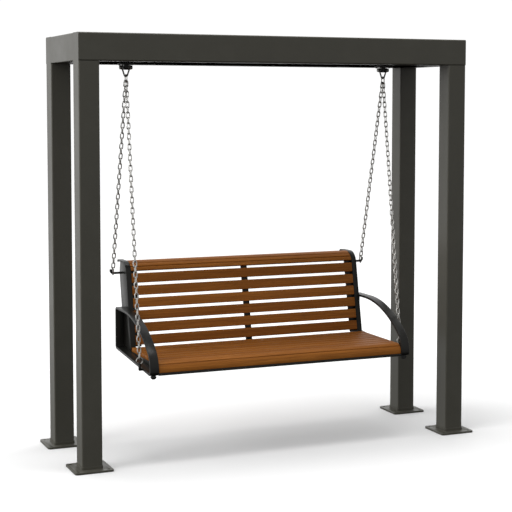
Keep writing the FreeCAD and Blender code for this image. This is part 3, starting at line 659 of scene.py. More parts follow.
def copies(model: bpy.types.Object, places: Sequence[Matrix], name: str) -> bpy.types.Object:
    """Repeat a model at each place and join the copies to one piece; the model is used up.

    Args:
        model: The piece to repeat, about the origin.
        places: Where each copy goes.
        name: The joined piece's name.

    Returns:
        The joined piece.
    """
    made = []
    for place in places:
        twin = model.copy()
        twin.data = model.data.copy()
        twin.data.transform(place)
        bpy.context.scene.collection.objects.link(twin)
        made.append(twin)
    piece = joined(made, name)
    bpy.data.objects.remove(model)
    return piece


def refined(node: str, radius: float, flat: float = 0.5) -> bpy.types.Object:
    """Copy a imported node, clean its mesh and round its sharp edges.

    Args:
        node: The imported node.
        radius: The rounding's radius.
        flat: The angle, in degrees, up to which neighbouring faces become one.

    Returns:
        The copy, which stands for the node.
    """
    piece = bpy.data.objects.new(f"{node}_finished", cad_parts[node].data.copy())
    bpy.context.scene.collection.objects.link(piece)
    with editing(piece):
        bpy.ops.mesh.remove_doubles(threshold=MERGE)
        bpy.ops.mesh.dissolve_limited(angle_limit=math.radians(flat))
        bpy.ops.mesh.customdata_custom_splitnormals_clear()
    ease_edges(piece, radius, steps=2)
    return piece


def hand_over(piece: bpy.types.Object, node: str, body: Body, slot: Slot, paints: Paintbox) -> None:
    """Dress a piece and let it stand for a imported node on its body.

    Args:
        piece: The piece.
        node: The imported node.
        body: The body that it rides on.
        slot: Its finish.
        paints: The finishes.
    """
    paints.dress(piece, slot)
    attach(piece, body.value)
    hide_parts(node)


def solids_of(node: str) -> list[tuple[Vector, Vector]]:
    """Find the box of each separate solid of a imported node, from top to bottom.

    Args:
        node: The node's name.

    Returns:
        The lowest and highest corner of each solid.
    """
    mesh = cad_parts[node].data
    keys: dict[tuple[int, int, int], int] = {}
    merged = [keys.setdefault(tuple(round(c * GRID) for c in v.co), len(keys)) for v in mesh.vertices]
    parent = list(range(len(keys)))

    def root(item: int) -> int:
        """Find the item that stands for this one's solid.

        Args:
            item: The item.

        Returns:
            The one that stands for it.
        """
        while parent[item] != item:
            parent[item] = parent[parent[item]]
            item = parent[item]
        return item

    for face in mesh.polygons:
        first = root(merged[face.vertices[0]])
        for corner in face.vertices[1:]:
            parent[root(merged[corner])] = first
    found: dict[int, list[Vector]] = {}
    for index, vertex in enumerate(mesh.vertices):
        found.setdefault(root(merged[index]), []).append(vertex.co)
    boxes = [(Vector(map(min, zip(*spots))), Vector(map(max, zip(*spots)))) for spots in found.values()]
    return sorted(boxes, key=lambda box: -(box[0].z + box[1].z))


def standing(spot: Vector, flat: Vector, up: Vector) -> Matrix:
    """The place of a link or a screw.

    Args:
        spot: Its middle.
        flat: The direction of its width.
        up: The direction of its length.

    Returns:
        The matrix that takes the model there.
    """
    turn = Matrix((flat, up.cross(flat), up)).transposed().to_4x4()
    return Matrix.Translation(spot) @ turn


# ---------------------------------------------------------------- bent flat bars
@dataclass(frozen=True)
class Span:
    """One straight or one right-hand bend of a bent line."""

    length: float
    radius: float = 0.0          # 0 for a straight

    @property
    def turn(self) -> float:
        """How far the span turns, in radians."""
        return self.length / self.radius if self.radius else 0.0


def bend(radius: float, degrees: float) -> Span:
    """A right-hand bend by an angle."""
    return Span(radius * math.radians(degrees), radius)


@dataclass(frozen=True)
class BentLine:
    """A line of straights and right-hand bends in the Y-Z plane; the material lies to its right."""

    start: tuple[float, float]
    heading: float               # degrees from +Y towards +Z
    spans: tuple[Span, ...]

    @property
    def length(self) -> float:
        """The whole line's length."""
        return sum(span.length for span in self.spans)

    def at(self, distance: float, depth: float = 0.0) -> tuple[Vector, float]:
        """Find a point beside the line.

        Args:
            distance: How far along the line.
            depth: How far to its right.

        Returns:
            The point, with x of 0, and the line's direction there in radians.
        """
        point = Vector((0.0, *self.start))
        angle = math.radians(self.heading)
        for index, span in enumerate(self.spans):
            last = index == len(self.spans) - 1
            part = distance if last else min(distance, span.length)
            right = Vector((0.0, math.sin(angle), -math.cos(angle)))
            if span.radius:
                centre = point + right * span.radius
                angle -= part / span.radius
                right = Vector((0.0, math.sin(angle), -math.cos(angle)))
                point = centre - right * span.radius
            else:
                point = point + Vector((0.0, math.cos(angle), math.sin(angle))) * part
            distance -= part
            if distance <= HAIR:
                break
        return point + right * depth, angle

    def pieces(self, begin: float, finish: float) -> Iterator[tuple[Span, float, float]]:
        """Walk the spans between two distances.

        Args:
            begin: The first distance along the line.
            finish: The last one.

        Yields:
            Each span with where its part between the two begins and ends.
        """
        along = 0.0
        for span in self.spans:
            first = max(begin, along)
            last = min(finish, along + span.length)
            if last - first > HAIR:
                yield span, first, last
            along += span.length


Row = tuple[str, BentLine, list[Range]]    # a slat's node, its line and its strips along that


@dataclass(frozen=True)
class FlatBar:
    """A rectangular bar bent along a line; its width lies along X."""

    line: BentLine
    begin: float
    finish: float
    outside: float
    inside: float
    low_x: float
    high_x: float
    step: float                  # degrees of bend between cuts
    closed: bool = False
    seam: float = 1e-4           # how far apart a closed bar's ends may meet

    def build(self, name: str, radius: float) -> bpy.types.Object:
        """Extrude and spin the bar's cross-section along its line.

        Args:
            name: The piece's name.
            radius: The rounding of its edges.

        Returns:
            The bar.
        """
        outer, angle = self.line.at(self.begin, self.outside)
        inner, _ = self.line.at(self.begin, self.inside)
        middle = (outer + inner) / 2
        middle.x = (self.low_x + self.high_x) / 2
        deselect()
        tilt = angle - math.pi / 2
        bpy.ops.mesh.primitive_plane_add(size=1.0, location=middle, rotation=(tilt, 0.0, 0.0))
        bar = bpy.context.object
        bar.name = name
        bar.scale = (self.high_x - self.low_x, self.inside - self.outside, 1.0)
        settle(bar)
        with editing(bar):
            for span, first, last in self.line.pieces(self.begin, self.finish):
                self._follow(span, first, last)
            bpy.ops.mesh.select_all(action="SELECT")
            bpy.ops.mesh.remove_doubles(threshold=self.seam if self.closed else MERGE)
            if self.closed:
                bpy.ops.mesh.select_mode(type="FACE")
                bpy.ops.mesh.select_all(action="DESELECT")
                bpy.ops.mesh.select_interior_faces()
                bpy.ops.mesh.delete(type="ONLY_FACE")
                bpy.ops.mesh.select_all(action="SELECT")
            bpy.ops.mesh.normals_make_consistent(inside=False)
        ease_edges(bar, radius)
        return bar

    def _follow(self, span: Span, first: float, last: float) -> None:
        """Carry the selected cross-section over one part of the line.

        Args:
            span: The straight or bend.
            first: Where its part begins along the line.
            last: Where the part ends.
        """
        here, angle = self.line.at(first)
        there, _ = self.line.at(last)
        if not span.radius:
            bpy.ops.mesh.extrude_region_move(TRANSFORM_OT_translate={"value": there - here})
            return
        turn = (last - first) / span.radius
        right = Vector((0.0, math.sin(angle), -math.cos(angle)))
        centre = here + right * span.radius
        cuts = max(2, math.ceil(math.degrees(turn) / self.step))
        bpy.ops.mesh.spin(steps=cuts, angle=turn, center=centre, axis=(1.0, 0.0, 0.0))


# ---------------------------------------------------------------- the studio
@dataclass
class Studio:
    """The camera, the floor and soft light from the left."""

    spot: Point = (-2.7271, -6.4672, 1.7586)
    yaw: float = 0.3965          # to the right of +Y
    pitch: float = 0.0711        # down
    lens: float = 94.37
    sensor: float = 36.0
    rise: float = -0.109         # vertical shift
    sight: float = 200.0         # how far the camera sees
    floor_radius: float = 90.0
    lamp_side: float = 3.0
    key_spot: Point = (-6.0, -0.9, 3.6)
    key_target: Point = (0.0, 0.0, 1.0)
    key_power: float = 125.0     # watts
    top_spot: Point = (0.0, -0.2, 6.5)
    top_target: Point = (0.0, 0.0, 0.0)
    top_power: float = 210.0
    rear_wall: float = 1.02      # brightness of each side of the room
    front_wall: float = 0.48
    left_wall: float = 0.65
    left_spread: float = 2.0
    room_dark: float = 0.02
    skyline: Range = (-0.3, -0.12)
    rear_edge: Range = (-0.2, 0.35)

    def build(self) -> None:
        """Set up the whole studio."""
        self.make_camera()
        self.make_floor()
        self.make_lights()
        LOG.info("studio ready")

    def make_camera(self) -> None:
        """Place the camera."""
        data = bpy.data.cameras.new("studio_camera")
        data.lens = self.lens
        data.sensor_width = self.sensor
        data.shift_y = self.rise
        data.clip_end = self.sight
        camera = bpy.data.objects.new("studio_camera", data)
        camera.location = self.spot
        camera.rotation_euler = (math.pi / 2 - self.pitch, 0.0, -self.yaw)
        bpy.context.scene.collection.objects.link(camera)
        bpy.context.scene.camera = camera

    def make_floor(self) -> None:
        """Lay a wide pale floor."""
        deselect()
        bpy.ops.mesh.primitive_circle_add(vertices=64, radius=self.floor_radius, fill_type="NGON")
        floor = bpy.context.object
        floor.name = "studio_floor"
        settle(floor)
        floor.data.materials.append(StudioFloor("studio_floor_paint").material())
        floor.visible_diffuse = False
        floor.visible_glossy = False

    def make_lights(self) -> None:
        """Hang large soft lamps in a room that is brightest on the left and behind, and dark below."""
        self.lamp("key_light", self.key_spot, self.key_target, self.key_power)
        self.lamp("top_light", self.top_spot, self.top_target, self.top_power)
        room = bpy.data.worlds.new("studio_room")
        room.use_nodes = True
        tree = room.node_tree
        spot = tree.nodes.new("ShaderNodeTexCoord")
        split = tree.nodes.new("ShaderNodeSeparateXYZ")
        tree.links.new(spot.outputs["Generated"], split.inputs[0])
        height = Socket(tree, split.outputs["Z"]).ramp(*self.skyline)
        behind = Socket(tree, split.outputs["Y"]).ramp(*self.rear_edge)
        left = (Socket(tree, split.outputs["X"]) * -1.0).clamped() ** self.left_spread
        wall = behind * (self.rear_wall - self.front_wall) + self.front_wall + left * self.left_wall
        backdrop = tree.nodes["Background"]
        tree.links.new((height * wall + self.room_dark).output, backdrop.inputs["Strength"])
        backdrop.inputs["Color"].default_value = (1.0, 1.0, 1.0, 1.0)
        bpy.context.scene.world = room
        bpy.context.scene.view_settings.view_transform = "Standard"

    def lamp(self, name: str, spot: Point, target: Point, power: float) -> None:
        """Hang one square soft lamp.

        Args:
            name: Its name.
            spot: Where it hangs.
            target: What it faces.
            power: Its power in watts.
        """
        data = bpy.data.lights.new(name, "AREA")
        data.size = self.lamp_side
        data.energy = power
        lamp = bpy.data.objects.new(name, data)
        lamp.location = spot
        lamp.rotation_euler = (Vector(target) - Vector(spot)).to_track_quat("-Z", "Y").to_euler()
        bpy.context.scene.collection.objects.link(lamp)


# ---------------------------------------------------------------- the portal
@dataclass
class Portal:
    """The four-post frame: posts, plates, collars, beams, roof sheets and crossmembers."""

    paints: Paintbox
    plate_edge: float = 0.0012

    def build(self) -> None:
        """Dress the frame's own nodes."""
        corners = [f"{end}_{side}" for end in ENDS for side in SIDES]
        plain = ["front_beam", "rear_beam", "beam_end_caps", "top_cover", "post_foot_collars"]
        plain += [f"{side}_{kind}" for side in SIDES for kind in ("end_beam", "crossmember")]
        plain += [f"post_{corner}" for corner in corners]
        for node in plain:
            self.paints.dress_node(node, Slot.PORTAL)
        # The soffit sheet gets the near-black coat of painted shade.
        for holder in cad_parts["soffit_sheet"].material_slots:
            holder.material = self.paints.soffit
        for corner in corners:
            node = f"base_plate_{corner}"
            hand_over(refined(node, self.plate_edge), node, Body.FRAME, Slot.PORTAL, self.paints)
        LOG.info("portal dressed: %d nodes", len(plain) + len(corners) + 1)


@dataclass
class Hangers:
    """The drilled brackets, their bolts and pins, and the V-shaped bails."""

    paints: Paintbox
    bracket_edge: float = 0.0008
    fastener_edge: float = 0.0005

    def build(self) -> None:
        """Dress the hangers' nodes."""
        for side in SIDES:
            node = f"{side}_hanger_bracket"
            hand_over(refined(node, self.bracket_edge), node, Body.FRAME, Slot.HANGER, self.paints)
            node = f"{side}_bail"
            hand_over(refined(node, self.fastener_edge), node, Body.BAILS, Slot.PLATED, self.paints)
        for node in ("pivot_pins", "bracket_bolts"):
            hand_over(refined(node, self.fastener_edge), node, Body.FRAME, Slot.PLATED, self.paints)
        LOG.info("hangers made")


# ---------------------------------------------------------------- chains and rings
@dataclass(frozen=True)
class OvalLink:
    """A closed oval of round wire, standing along Z in the X-Z plane."""

    wire: float
    width: float                 # over the wires
    inner: float                 # inside length

    def build(self, name: str, cuts: int, sides: int) -> bpy.types.Object:
        """Spin and extrude a round section into the oval.

        Args:
            name: The piece's name.
            cuts: Steps round each end.
            sides: Sides of the wire.

        Returns:
            The link.
        """
        radius = (self.width - self.wire) / 2
        half = (self.inner + self.wire) / 2 - radius
        deselect()
        bpy.ops.mesh.primitive_circle_add(vertices=sides, radius=self.wire / 2, location=(radius, 0.0, half))
        link = settle(bpy.context.object)
        link.name = name
        with editing(link):
            bpy.ops.mesh.spin(steps=cuts, angle=math.pi, center=(0.0, 0.0, half), axis=(0.0, 1.0, 0.0))
            bpy.ops.mesh.extrude_region_move(TRANSFORM_OT_translate={"value": (0.0, 0.0, -2 * half)})
            bpy.ops.mesh.spin(steps=cuts, angle=math.pi, center=(0.0, 0.0, -half), axis=(0.0, 1.0, 0.0))
            bpy.ops.mesh.select_all(action="DESELECT")
            bpy.ops.mesh.select_non_manifold()
            bpy.ops.mesh.bridge_edge_loops()
            bpy.ops.mesh.select_all(action="SELECT")
            bpy.ops.mesh.normals_make_consistent(inside=False)
        choose(link)
        bpy.ops.object.shade_smooth()
        return link


@dataclass
class Chains:
    """Four chains of oval links, the top rings, the end links on the hooks and the low round rings."""

    paints: Paintbox
    wire: float = 0.006
    width: float = 0.022
    play: float = 0.00025
    link_facets: int = 6
    ring_facets: int = 12
    top_wire: float = 0.007
    end_width: float = 0.027
    round_cuts: int = 40
    weld_swell: float = 1.14
    weld_reach: float = 1.3      # in wires

    def build(self) -> None:
        """Make every chain and the rings."""
        for side in SIDES:
            for end in ENDS:
                self.make_chain(f"{end}_{side}_chain")
        self.make_rings()

    def make_chain(self, node: str) -> None:
        """Make one chain on the line of its packed links.

        Args:
            node: The chain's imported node.
        """
        middles = [(low + high) / 2 for low, high in solids_of(node)]
        count = len(middles)
        top, bottom = middles[0], middles[-1]
        down = (bottom - top).normalized()
        pitch = (bottom - top).length / (count - 1)
        link = OvalLink(self.wire, self.width, pitch + self.play)
        model = link.build("link", self.link_facets, self.link_facets)
        side = Vector((1.0, 0.0, 0.0))
        across = (side - down * side.dot(down)).normalized()
        flats = (across, down.cross(side).normalized())
        places = [standing(top + down * (pitch * index), flats[index % 2], -down) for index in range(count)]
        chain = copies(model, places, f"{node}_links")
        hand_over(chain, node, Body.BENCH, Slot.CHAIN, self.paints)
        LOG.info("%s: %d links", chain.name, count)

    def make_rings(self) -> None:
        """Make the rings: two oval ones at the hangers, two end links on the hooks, two round ones below."""
        boxes = solids_of("chain_rings")
        made = [self.top_ring(low, high) for low, high in boxes[:2]]
        made += [self.end_link(low, high) for low, high in boxes[2:4]]
        made += [self.round_ring(low, high) for low, high in boxes[4:]]
        rings = joined(made, "chain_ring_set")
        hand_over(rings, "chain_rings", Body.BENCH, Slot.CHAIN, self.paints)
        LOG.info("rings: %d", len(boxes))

    def top_ring(self, low: Vector, high: Vector) -> bpy.types.Object:
        """Make one oval ring that hangs in a bail's crotch.

        Args:
            low: Its box's lowest corner.
            high: Its box's highest corner.

        Returns:
            The ring.
        """
        extent = high - low
        oval = OvalLink(self.top_wire, extent.y, extent.z - 2 * self.top_wire)
        ring = oval.build("top_ring", self.ring_facets, self.ring_facets)
        place = standing((low + high) / 2, Vector((0.0, 1.0, 0.0)), Vector((0.0, 0.0, 1.0)))
        ring.data.transform(place)
        return ring

    def end_link(self, low: Vector, high: Vector) -> bpy.types.Object:
        """Make one large link that holds a rear chain on its hook.

        Args:
            low: Its box's lowest corner.
            high: Its box's highest corner.

        Returns:
            The link.
        """
        middle = (low + high) / 2
        chain = solids_of("rear_left_chain" if middle.x < 0 else "rear_right_chain")
        ends = [(below + above) / 2 for below, above in (chain[0], chain[-1])]
        down = (ends[1] - ends[0]).normalized()
        straight = (high.z - low.z - self.end_width) / abs(down.z)
        oval = OvalLink(self.wire, self.end_width, straight + self.end_width - 2 * self.wire)
        link = oval.build("end_link", self.ring_facets, self.ring_facets)
        link.data.transform(standing(middle, down.cross(Vector((1.0, 0.0, 0.0))).normalized(), -down))
        return link

    def round_ring(self, low: Vector, high: Vector) -> bpy.types.Object:
        """Spin one round ring in the X-Z plane with a swollen weld at its top.

        Args:
            low: Its box's lowest corner.
            high: Its box's highest corner.

        Returns:
            The ring.
        """
        radius = (high.x - low.x - self.wire) / 2
        deselect()
        bpy.ops.mesh.primitive_circle_add(vertices=self.ring_facets, radius=self.wire / 2,
                                          location=(radius, 0.0, 0.0))
        ring = settle(bpy.context.object)
        with editing(ring):
            bpy.ops.mesh.spin(steps=self.round_cuts, angle=math.tau, center=(0.0, 0.0, 0.0),
                              axis=(0.0, -1.0, 0.0))
            bpy.ops.mesh.select_all(action="SELECT")
            bpy.ops.mesh.remove_doubles(threshold=MERGE)
            bpy.ops.mesh.normals_make_consistent(inside=False)
        crown = Vector((0.0, 0.0, radius))
        for vertex in ring.data.vertices:
            near = max(0.0, 1.0 - (vertex.co - crown).length / (self.weld_reach * self.wire))
            spine = Vector((vertex.co.x, 0.0, vertex.co.z)).normalized() * radius
            vertex.co = spine + (vertex.co - spine) * (1.0 + (self.weld_swell - 1.0) * near)
        choose(ring)
        bpy.ops.object.shade_smooth()
        ring.data.transform(Matrix.Translation((low + high) / 2))
        return ring


# ---------------------------------------------------------------- the bench
@dataclass
class BenchLines:
    """The bent lines of the back and the seat, placed by the lowest back slat and the seat's nose."""

    lean: float = 11.3           # of the back, from the vertical
    slat: float = 0.021          # thickness of the slats
    foot: float = 0.064          # the back's line starts this far below its lowest slat
    straight: float = 0.440
    roll: float = 0.070          # radius of the bend over the top
    tail: float = 0.077
    curl: float = 0.016          # radius of the bend at the very end
    curl_turn: float = 75.0
    nose: float = 0.040          # radius of the seat's front edge
    drop: float = 0.012          # straight below the nose

    @property
    def back(self) -> BentLine:
        """The front face of the back, from its foot to the end of the curl.

        Returns:
            The line.
        """
        low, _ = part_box("back_slat_1")
        tilt = math.radians(self.lean)
        rise = low.z + self.slat * math.sin(tilt)
        start = (low.y - self.foot * math.sin(tilt), rise - self.foot * math.cos(tilt))
        spans = (Span(self.straight), bend(self.roll, RIGHT_ANGLE - self.lean), Span(self.tail),
                 bend(self.curl, self.curl_turn))
        return BentLine(start, RIGHT_ANGLE - self.lean, spans)

    @property
    def seat(self) -> BentLine:
        """The outer face of the seat, up over the nose and back.

        Returns:
            The line.
        """
        low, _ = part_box("seat_nose_lower")
        _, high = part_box("seat_slat_1")
        spans = (Span(self.drop), bend(self.nose, RIGHT_ANGLE), Span(high.y - low.y - self.nose))
        return BentLine((low.y, low.z), RIGHT_ANGLE, spans)


@dataclass
class Timber:
    """The slats of the back and the seat, and the screws behind them."""

    paints: Paintbox
    lines: BenchLines
    width: float = 0.050
    flat_slats: int = 6          # of the back, below the two curved ones
    back_gap: float = 0.0145
    roll_slat: float = 0.046
    roll_gap: float = 0.002
    groove: float = 0.003        # along the middle of the first curved slat
    seat_slats: int = 7
    seat_gap: float = 0.004
    nose_cut: float = 0.042      # where the lower nose slat ends along the seat's line
    nose_gap: float = 0.0025
    nose_end: float = 0.098
    eased: float = 0.003
    cut_angle: float = 5.0
    golden: float = 0.618034     # share of the log between one slat and the next

    def build(self) -> None:
        """Make every slat and the screws."""
        rows = self.rows()
        for index, row in enumerate(rows):
            self.make_slat(row, (index * self.golden) % 1.0)
        Screws(self.paints, self.lines).build(rows)
        LOG.info("timber: %d slats", len(rows))

    def rows(self) -> list[Row]:
        """Lay out the slats along the bench's lines.

        Returns:
            Every slat: its node, its line and the strips that a groove divides it into.
        """
        back, seat = self.lines.back, self.lines.seat
        pitch = self.width + self.back_gap
        starts = [self.lines.foot + index * pitch for index in range(self.flat_slats + 1)]
        rows = [(f"back_slat_{index + 1}", back, [(low, low + self.width)])
                for index, low in enumerate(starts[:-1])]
        low = starts[-1]
        middle, top = low + self.roll_slat / 2, low + self.roll_slat
        rows.append(("back_slat_7", back, [(low, middle - self.groove / 2), (middle + self.groove / 2, top)]))
        rows.append(("back_slat_8", back, [(top + self.roll_gap, top + self.roll_gap + self.width)]))
        rows.append(("seat_nose_lower", seat, [(0.0, self.nose_cut)]))
        rows.append(("seat_nose_upper", seat, [(self.nose_cut + self.nose_gap, self.nose_end)]))
        for index in range(self.seat_slats):
            low = self.nose_end + self.seat_gap + index * (self.width + self.seat_gap)
            rows.append((f"seat_slat_{self.seat_slats - index}", seat, [(low, low + self.width)]))
        return rows

    def make_slat(self, row: Row, board: float) -> None:
        """Make one slat.

        Args:
            row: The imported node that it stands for, its line and its strips.
            board: A number from 0 to 1 that picks its cut of the log.
        """
        node, line, strips = row
        low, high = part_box(node)
        made = []
        for begin, finish in strips:
            bar = FlatBar(line, begin, finish, 0.0, self.lines.slat, low.x, high.x, self.cut_angle)
            made.append(bar.build(f"{node}_board", self.eased))
        slat = joined(made, f"{node}_board")
        marks = slat.data.attributes.new("board", "FLOAT", "POINT")
        for mark in marks.data:
            mark.value = board
        hand_over(slat, node, Body.BENCH, Slot.WOOD, self.paints)


@dataclass
class Screws:
    """Button-head screws with a round socket, which hold the slats on their supports."""

    paints: Paintbox
    lines: BenchLines
    head: float = 0.010          # diameter
    facets: int = 12
    profile: tuple[Range, ...] = ((0.0004, 0.0008), (0.0010, 0.0010), (0.0013, 0.0006))  # inset after lift
    rim: float = 0.0006          # round the socket
    socket_depth: float = 0.0014
    crease: float = 40.0
    support: float = 0.006       # thickness of the steel behind the slats

    def build(self, rows: list[Row]) -> None:
        """Put a screw at every crossing of a slat and a support.

        Args:
            rows: The slats, with their lines and strips.
        """
        across = {True: set(), False: set()}
        seat_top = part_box("seat_slat_1")[1].z
        for low, high in solids_of("slat_screws"):
            across[low.z > seat_top].add(round((low.x + high.x) / 2, 3))
        places = []
        for node, line, strips in rows:
            middle = (strips[0][0] + strips[-1][1]) / 2
            depth = self.lines.slat + self.support + self._rise(line, middle)
            spot, angle = line.at(middle, depth)
            out = Vector((0.0, math.sin(angle), -math.cos(angle)))
            for x in sorted(across[node.startswith("back")]):
                spot.x = x
                places.append(standing(spot, Vector((1.0, 0.0, 0.0)), out))
        screws = copies(self.make_screw(), places, "slat_screw_set")
        hand_over(screws, "slat_screws", Body.BENCH, Slot.PLATED, self.paints)
        LOG.info("screws: %d", len(places))

    def _rise(self, line: BentLine, distance: float) -> float:
        """Find how far a head stands off inside a bend.

        Args:
            line: The slats' line.
            distance: Where the head sits along it.

        Returns:
            The height, which is 0 on a straight.
        """
        along = 0.0
        for span in line.spans:
            if distance <= along + span.length:
                break
            along += span.length
        if not span.radius:
            return 0.0
        inner = span.radius - self.lines.slat - self.support
        return inner - math.sqrt(inner ** 2 - (self.head / 2) ** 2)

    def make_screw(self) -> bpy.types.Object:
        """Model one screw's head about the origin, with its top along Z.

        Returns:
            The head.
        """
        deselect()
        bpy.ops.mesh.primitive_circle_add(vertices=self.facets, radius=self.head / 2, fill_type="NGON")
        screw = bpy.context.object
        with editing(screw, "FACE"):
            for inset, lift in self.profile:
                bpy.ops.mesh.extrude_region_move(TRANSFORM_OT_translate={"value": (0.0, 0.0, lift)})
                bpy.ops.mesh.inset(thickness=inset, depth=0.0)
            bpy.ops.mesh.inset(thickness=self.rim, depth=0.0)
            bpy.ops.mesh.extrude_region_move(TRANSFORM_OT_translate={"value": (0.0, 0.0, -self.socket_depth)})
            bpy.ops.mesh.select_all(action="SELECT")
            bpy.ops.mesh.normals_make_consistent(inside=False)
        smooth(screw, self.crease)
        return screw


@dataclass
class ArmLoops:
    """The closed flat-bar loops at the bench's ends."""

    paints: Paintbox
    thick: float = 0.012
    corner: float = 0.020
    shoulder: float = 0.118      # radius of the bend from the front leg into the arm
    crest: float = 0.614         # radius of the arm's own gentle bend
    crest_turn: float = 40.0
    slope: float = 4.3           # of the low bar
    eased: float = 0.0016
    cut_angle: float = 3.0

    def build(self) -> None:
        """Make both loops."""
        for side in SIDES:
            node = f"{side}_arm_loop"
            low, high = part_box(node)
            line = self.line(low, high)
            bar = FlatBar(line, 0.0, line.length, 0.0, self.thick, low.x, high.x, self.cut_angle, closed=True)
            hand_over(bar.build(f"{node}_bar", self.eased), node, Body.BENCH, Slot.BENCH, self.paints)
        LOG.info("arm loops made")

    def line(self, low: Vector, high: Vector) -> BentLine:
        """The loop's outer face, from its front foot up over the arm and round.

        Args:
            low: The loop's lowest corner.
            high: Its highest corner.

        Returns:
            The closed line.
        """
        turn, slope = math.radians(self.crest_turn), math.radians(self.slope)
        rise = self.shoulder * math.cos(turn) + self.crest * (1 - math.cos(turn))
        reach = self.shoulder * (1 - math.sin(turn)) + self.crest * math.sin(turn)
        tall, deep = high.z - low.z, high.y - low.y
        run = (deep - 2 * self.corner) / math.cos(slope)
        leg = tall - 2 * self.corner - run * math.sin(slope)
        front = (Span(tall - rise - self.corner), bend(self.shoulder, RIGHT_ANGLE - self.crest_turn))
        arm = (bend(self.crest, self.crest_turn), Span(deep - reach - self.corner))
        rear = (bend(self.corner, RIGHT_ANGLE), Span(leg), bend(self.corner, RIGHT_ANGLE - self.slope))
        base = (Span(run), bend(self.corner, RIGHT_ANGLE + self.slope))
        return BentLine((low.y, low.z + self.corner), RIGHT_ANGLE, front + arm + rear + base)


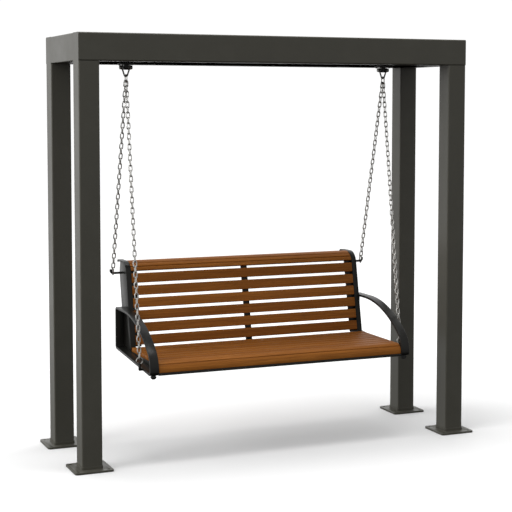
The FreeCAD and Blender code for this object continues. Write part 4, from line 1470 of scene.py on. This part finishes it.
@dataclass
class Uprights:
    """The welded end uprights of the back, of edge strip, web and flange, and the strap between them."""

    paints: Paintbox
    lines: BenchLines
    strip_wide: float = 0.027
    strip_thick: float = 0.008
    flange_thick: float = 0.006
    flange_lead: float = 0.008   # the flange starts this far below the lowest slat
    strap_lead: float = 0.0318
    eased: float = 0.0014
    cut_angle: float = 4.0
    web_thick: float = 0.004
    web_deep: float = 0.118
    web_start: float = 0.004     # along the back's line
    web_knee: float = 0.224
    web_crown: float = 0.432
    web_top: float = 0.060       # the strip runs on this far past the web
    web_cuts: int = 60
    crown_step: Range = (0.004, 0.030)      # from the crown's corner to its tip, back and up
    heel_step: float = 0.008     # the heel stands this far in front of the knee
    heel_rise: float = 0.060
    base: float = 0.012          # the web stands this far above the loop's low bar
    web_eased: float = 0.0009

    def build(self) -> None:
        """Make both uprights and the strap."""
        for side in SIDES:
            self.make_upright(side)
        low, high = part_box("centre_back_strap")
        strap = self.backing("centre_strap_bar", self.strap_lead, low.x, high.x)
        hand_over(strap, "centre_back_strap", Body.BENCH, Slot.BENCH, self.paints)
        LOG.info("uprights and centre strap made")

    def make_upright(self, side: str) -> None:
        """Make one upright.

        Args:
            side: The end of the bench, left or right.
        """
        node = f"{side}_back_upright"
        low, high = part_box(node)
        hand = SIDES[side]
        outer, inner = max(abs(low.x), abs(high.x)), min(abs(low.x), abs(high.x))
        line = self.lines.back
        low_x, high_x = self._between(hand, outer - self.strip_wide, outer)
        strip = FlatBar(line, 0.0, line.length, 0.0, self.strip_thick, low_x, high_x, self.cut_angle)
        strip = strip.build(f"{node}_steel", self.eased)
        flange = self.backing("flange", self.flange_lead, *self._between(hand, inner, outer - self.web_thick))
        web = self.web(line, *self._between(hand, outer - self.web_thick, outer))
        upright = joined([strip, flange, web], f"{node}_steel")
        hand_over(upright, node, Body.BENCH, Slot.BENCH, self.paints)

    def backing(self, name: str, lead: float, low_x: float, high_x: float) -> bpy.types.Object:
        """Make a bar that the back slats lie on.

        Args:
            name: Its name.
            lead: How far it starts below the lowest slat.
            low_x: Its left face.
            high_x: Its right face.

        Returns:
            The bar.
        """
        slat = self.lines.slat
        end = Timber(self.paints, self.lines).rows()[7][2][-1][1]
        bar = FlatBar(self.lines.back, self.lines.foot - lead, end, slat, slat + self.flange_thick, low_x,
                      high_x, self.cut_angle)
        return bar.build(name, self.eased)

    @staticmethod
    def _between(hand: int, near: float, far: float) -> Range:
        """The low and high x of a bar between two distances from the middle."""
        return (near, far) if hand > 0 else (-far, -near)

    def web(self, line: BentLine, low_x: float, high_x: float) -> bpy.types.Object:
        """Make the deep web from its outline.

        Args:
            line: The back's line.
            low_x: The web's left face.
            high_x: Its right face.

        Returns:
            The web.
        """
        run = line.length - self.web_top - self.web_start
        front = [line.at(self.web_start + run * index / self.web_cuts, self.strip_thick / 2)[0]
                 for index in range(self.web_cuts + 1)]
        knee = line.at(self.web_knee, self.web_deep)[0]
        crown = line.at(self.web_crown, self.web_deep)[0]
        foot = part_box("left_arm_loop")[0].z + self.base
        heel = Vector((0.0, knee.y - self.heel_step, foot))
        tip = crown + Vector((0.0, *self.crown_step))
        outline = [*front, tip, crown, knee, heel + Vector((0.0, 0.0, self.heel_rise)), heel,
                   Vector((0.0, front[0].y, foot))]
        deselect()
        bpy.ops.mesh.primitive_circle_add(vertices=len(outline), radius=1.0, fill_type="NGON")
        web = bpy.context.object
        for vertex, spot in zip(web.data.vertices, outline):
            vertex.co = (low_x, spot.y, spot.z)
        with editing(web, "FACE"):
            bpy.ops.mesh.extrude_region_move(TRANSFORM_OT_translate={"value": (high_x - low_x, 0.0, 0.0)})
            bpy.ops.mesh.select_all(action="SELECT")
            bpy.ops.mesh.normals_make_consistent(inside=False)
        ease_edges(web, self.web_eased, steps=2)
        return web


@dataclass
class BenchSteel:
    """The remaining black steel of the bench and its rubber bumpers."""

    paints: Paintbox
    rails: tuple[str, ...] = ("front", "rear", "left", "centre", "right")
    eased: float = 0.0012

    def build(self) -> None:
        """Round and dress the rails and lugs, and dress the hooks and bumpers."""
        for node in ("chain_lugs", *(f"{rail}_seat_rail" for rail in self.rails)):
            hand_over(refined(node, self.eased), node, Body.BENCH, Slot.BENCH, self.paints)
        self.paints.dress_node("rear_chain_hooks", Slot.BENCH)
        self.paints.dress_node("arm_loop_bumpers", Slot.CAP)
        LOG.info("bench rails dressed")


def main() -> None:
    """Build and dress the whole swing bench."""
    logging.basicConfig(level=logging.INFO, format="%(name)s: %(message)s")
    paints = Paintbox()
    Studio().build()
    lines = BenchLines()
    assemblies = (Portal(paints), Hangers(paints), Chains(paints), Timber(paints, lines), ArmLoops(paints),
                  Uprights(paints, lines), BenchSteel(paints))
    for assembly in assemblies:
        assembly.build()


if __name__ == "__main__":
    main()
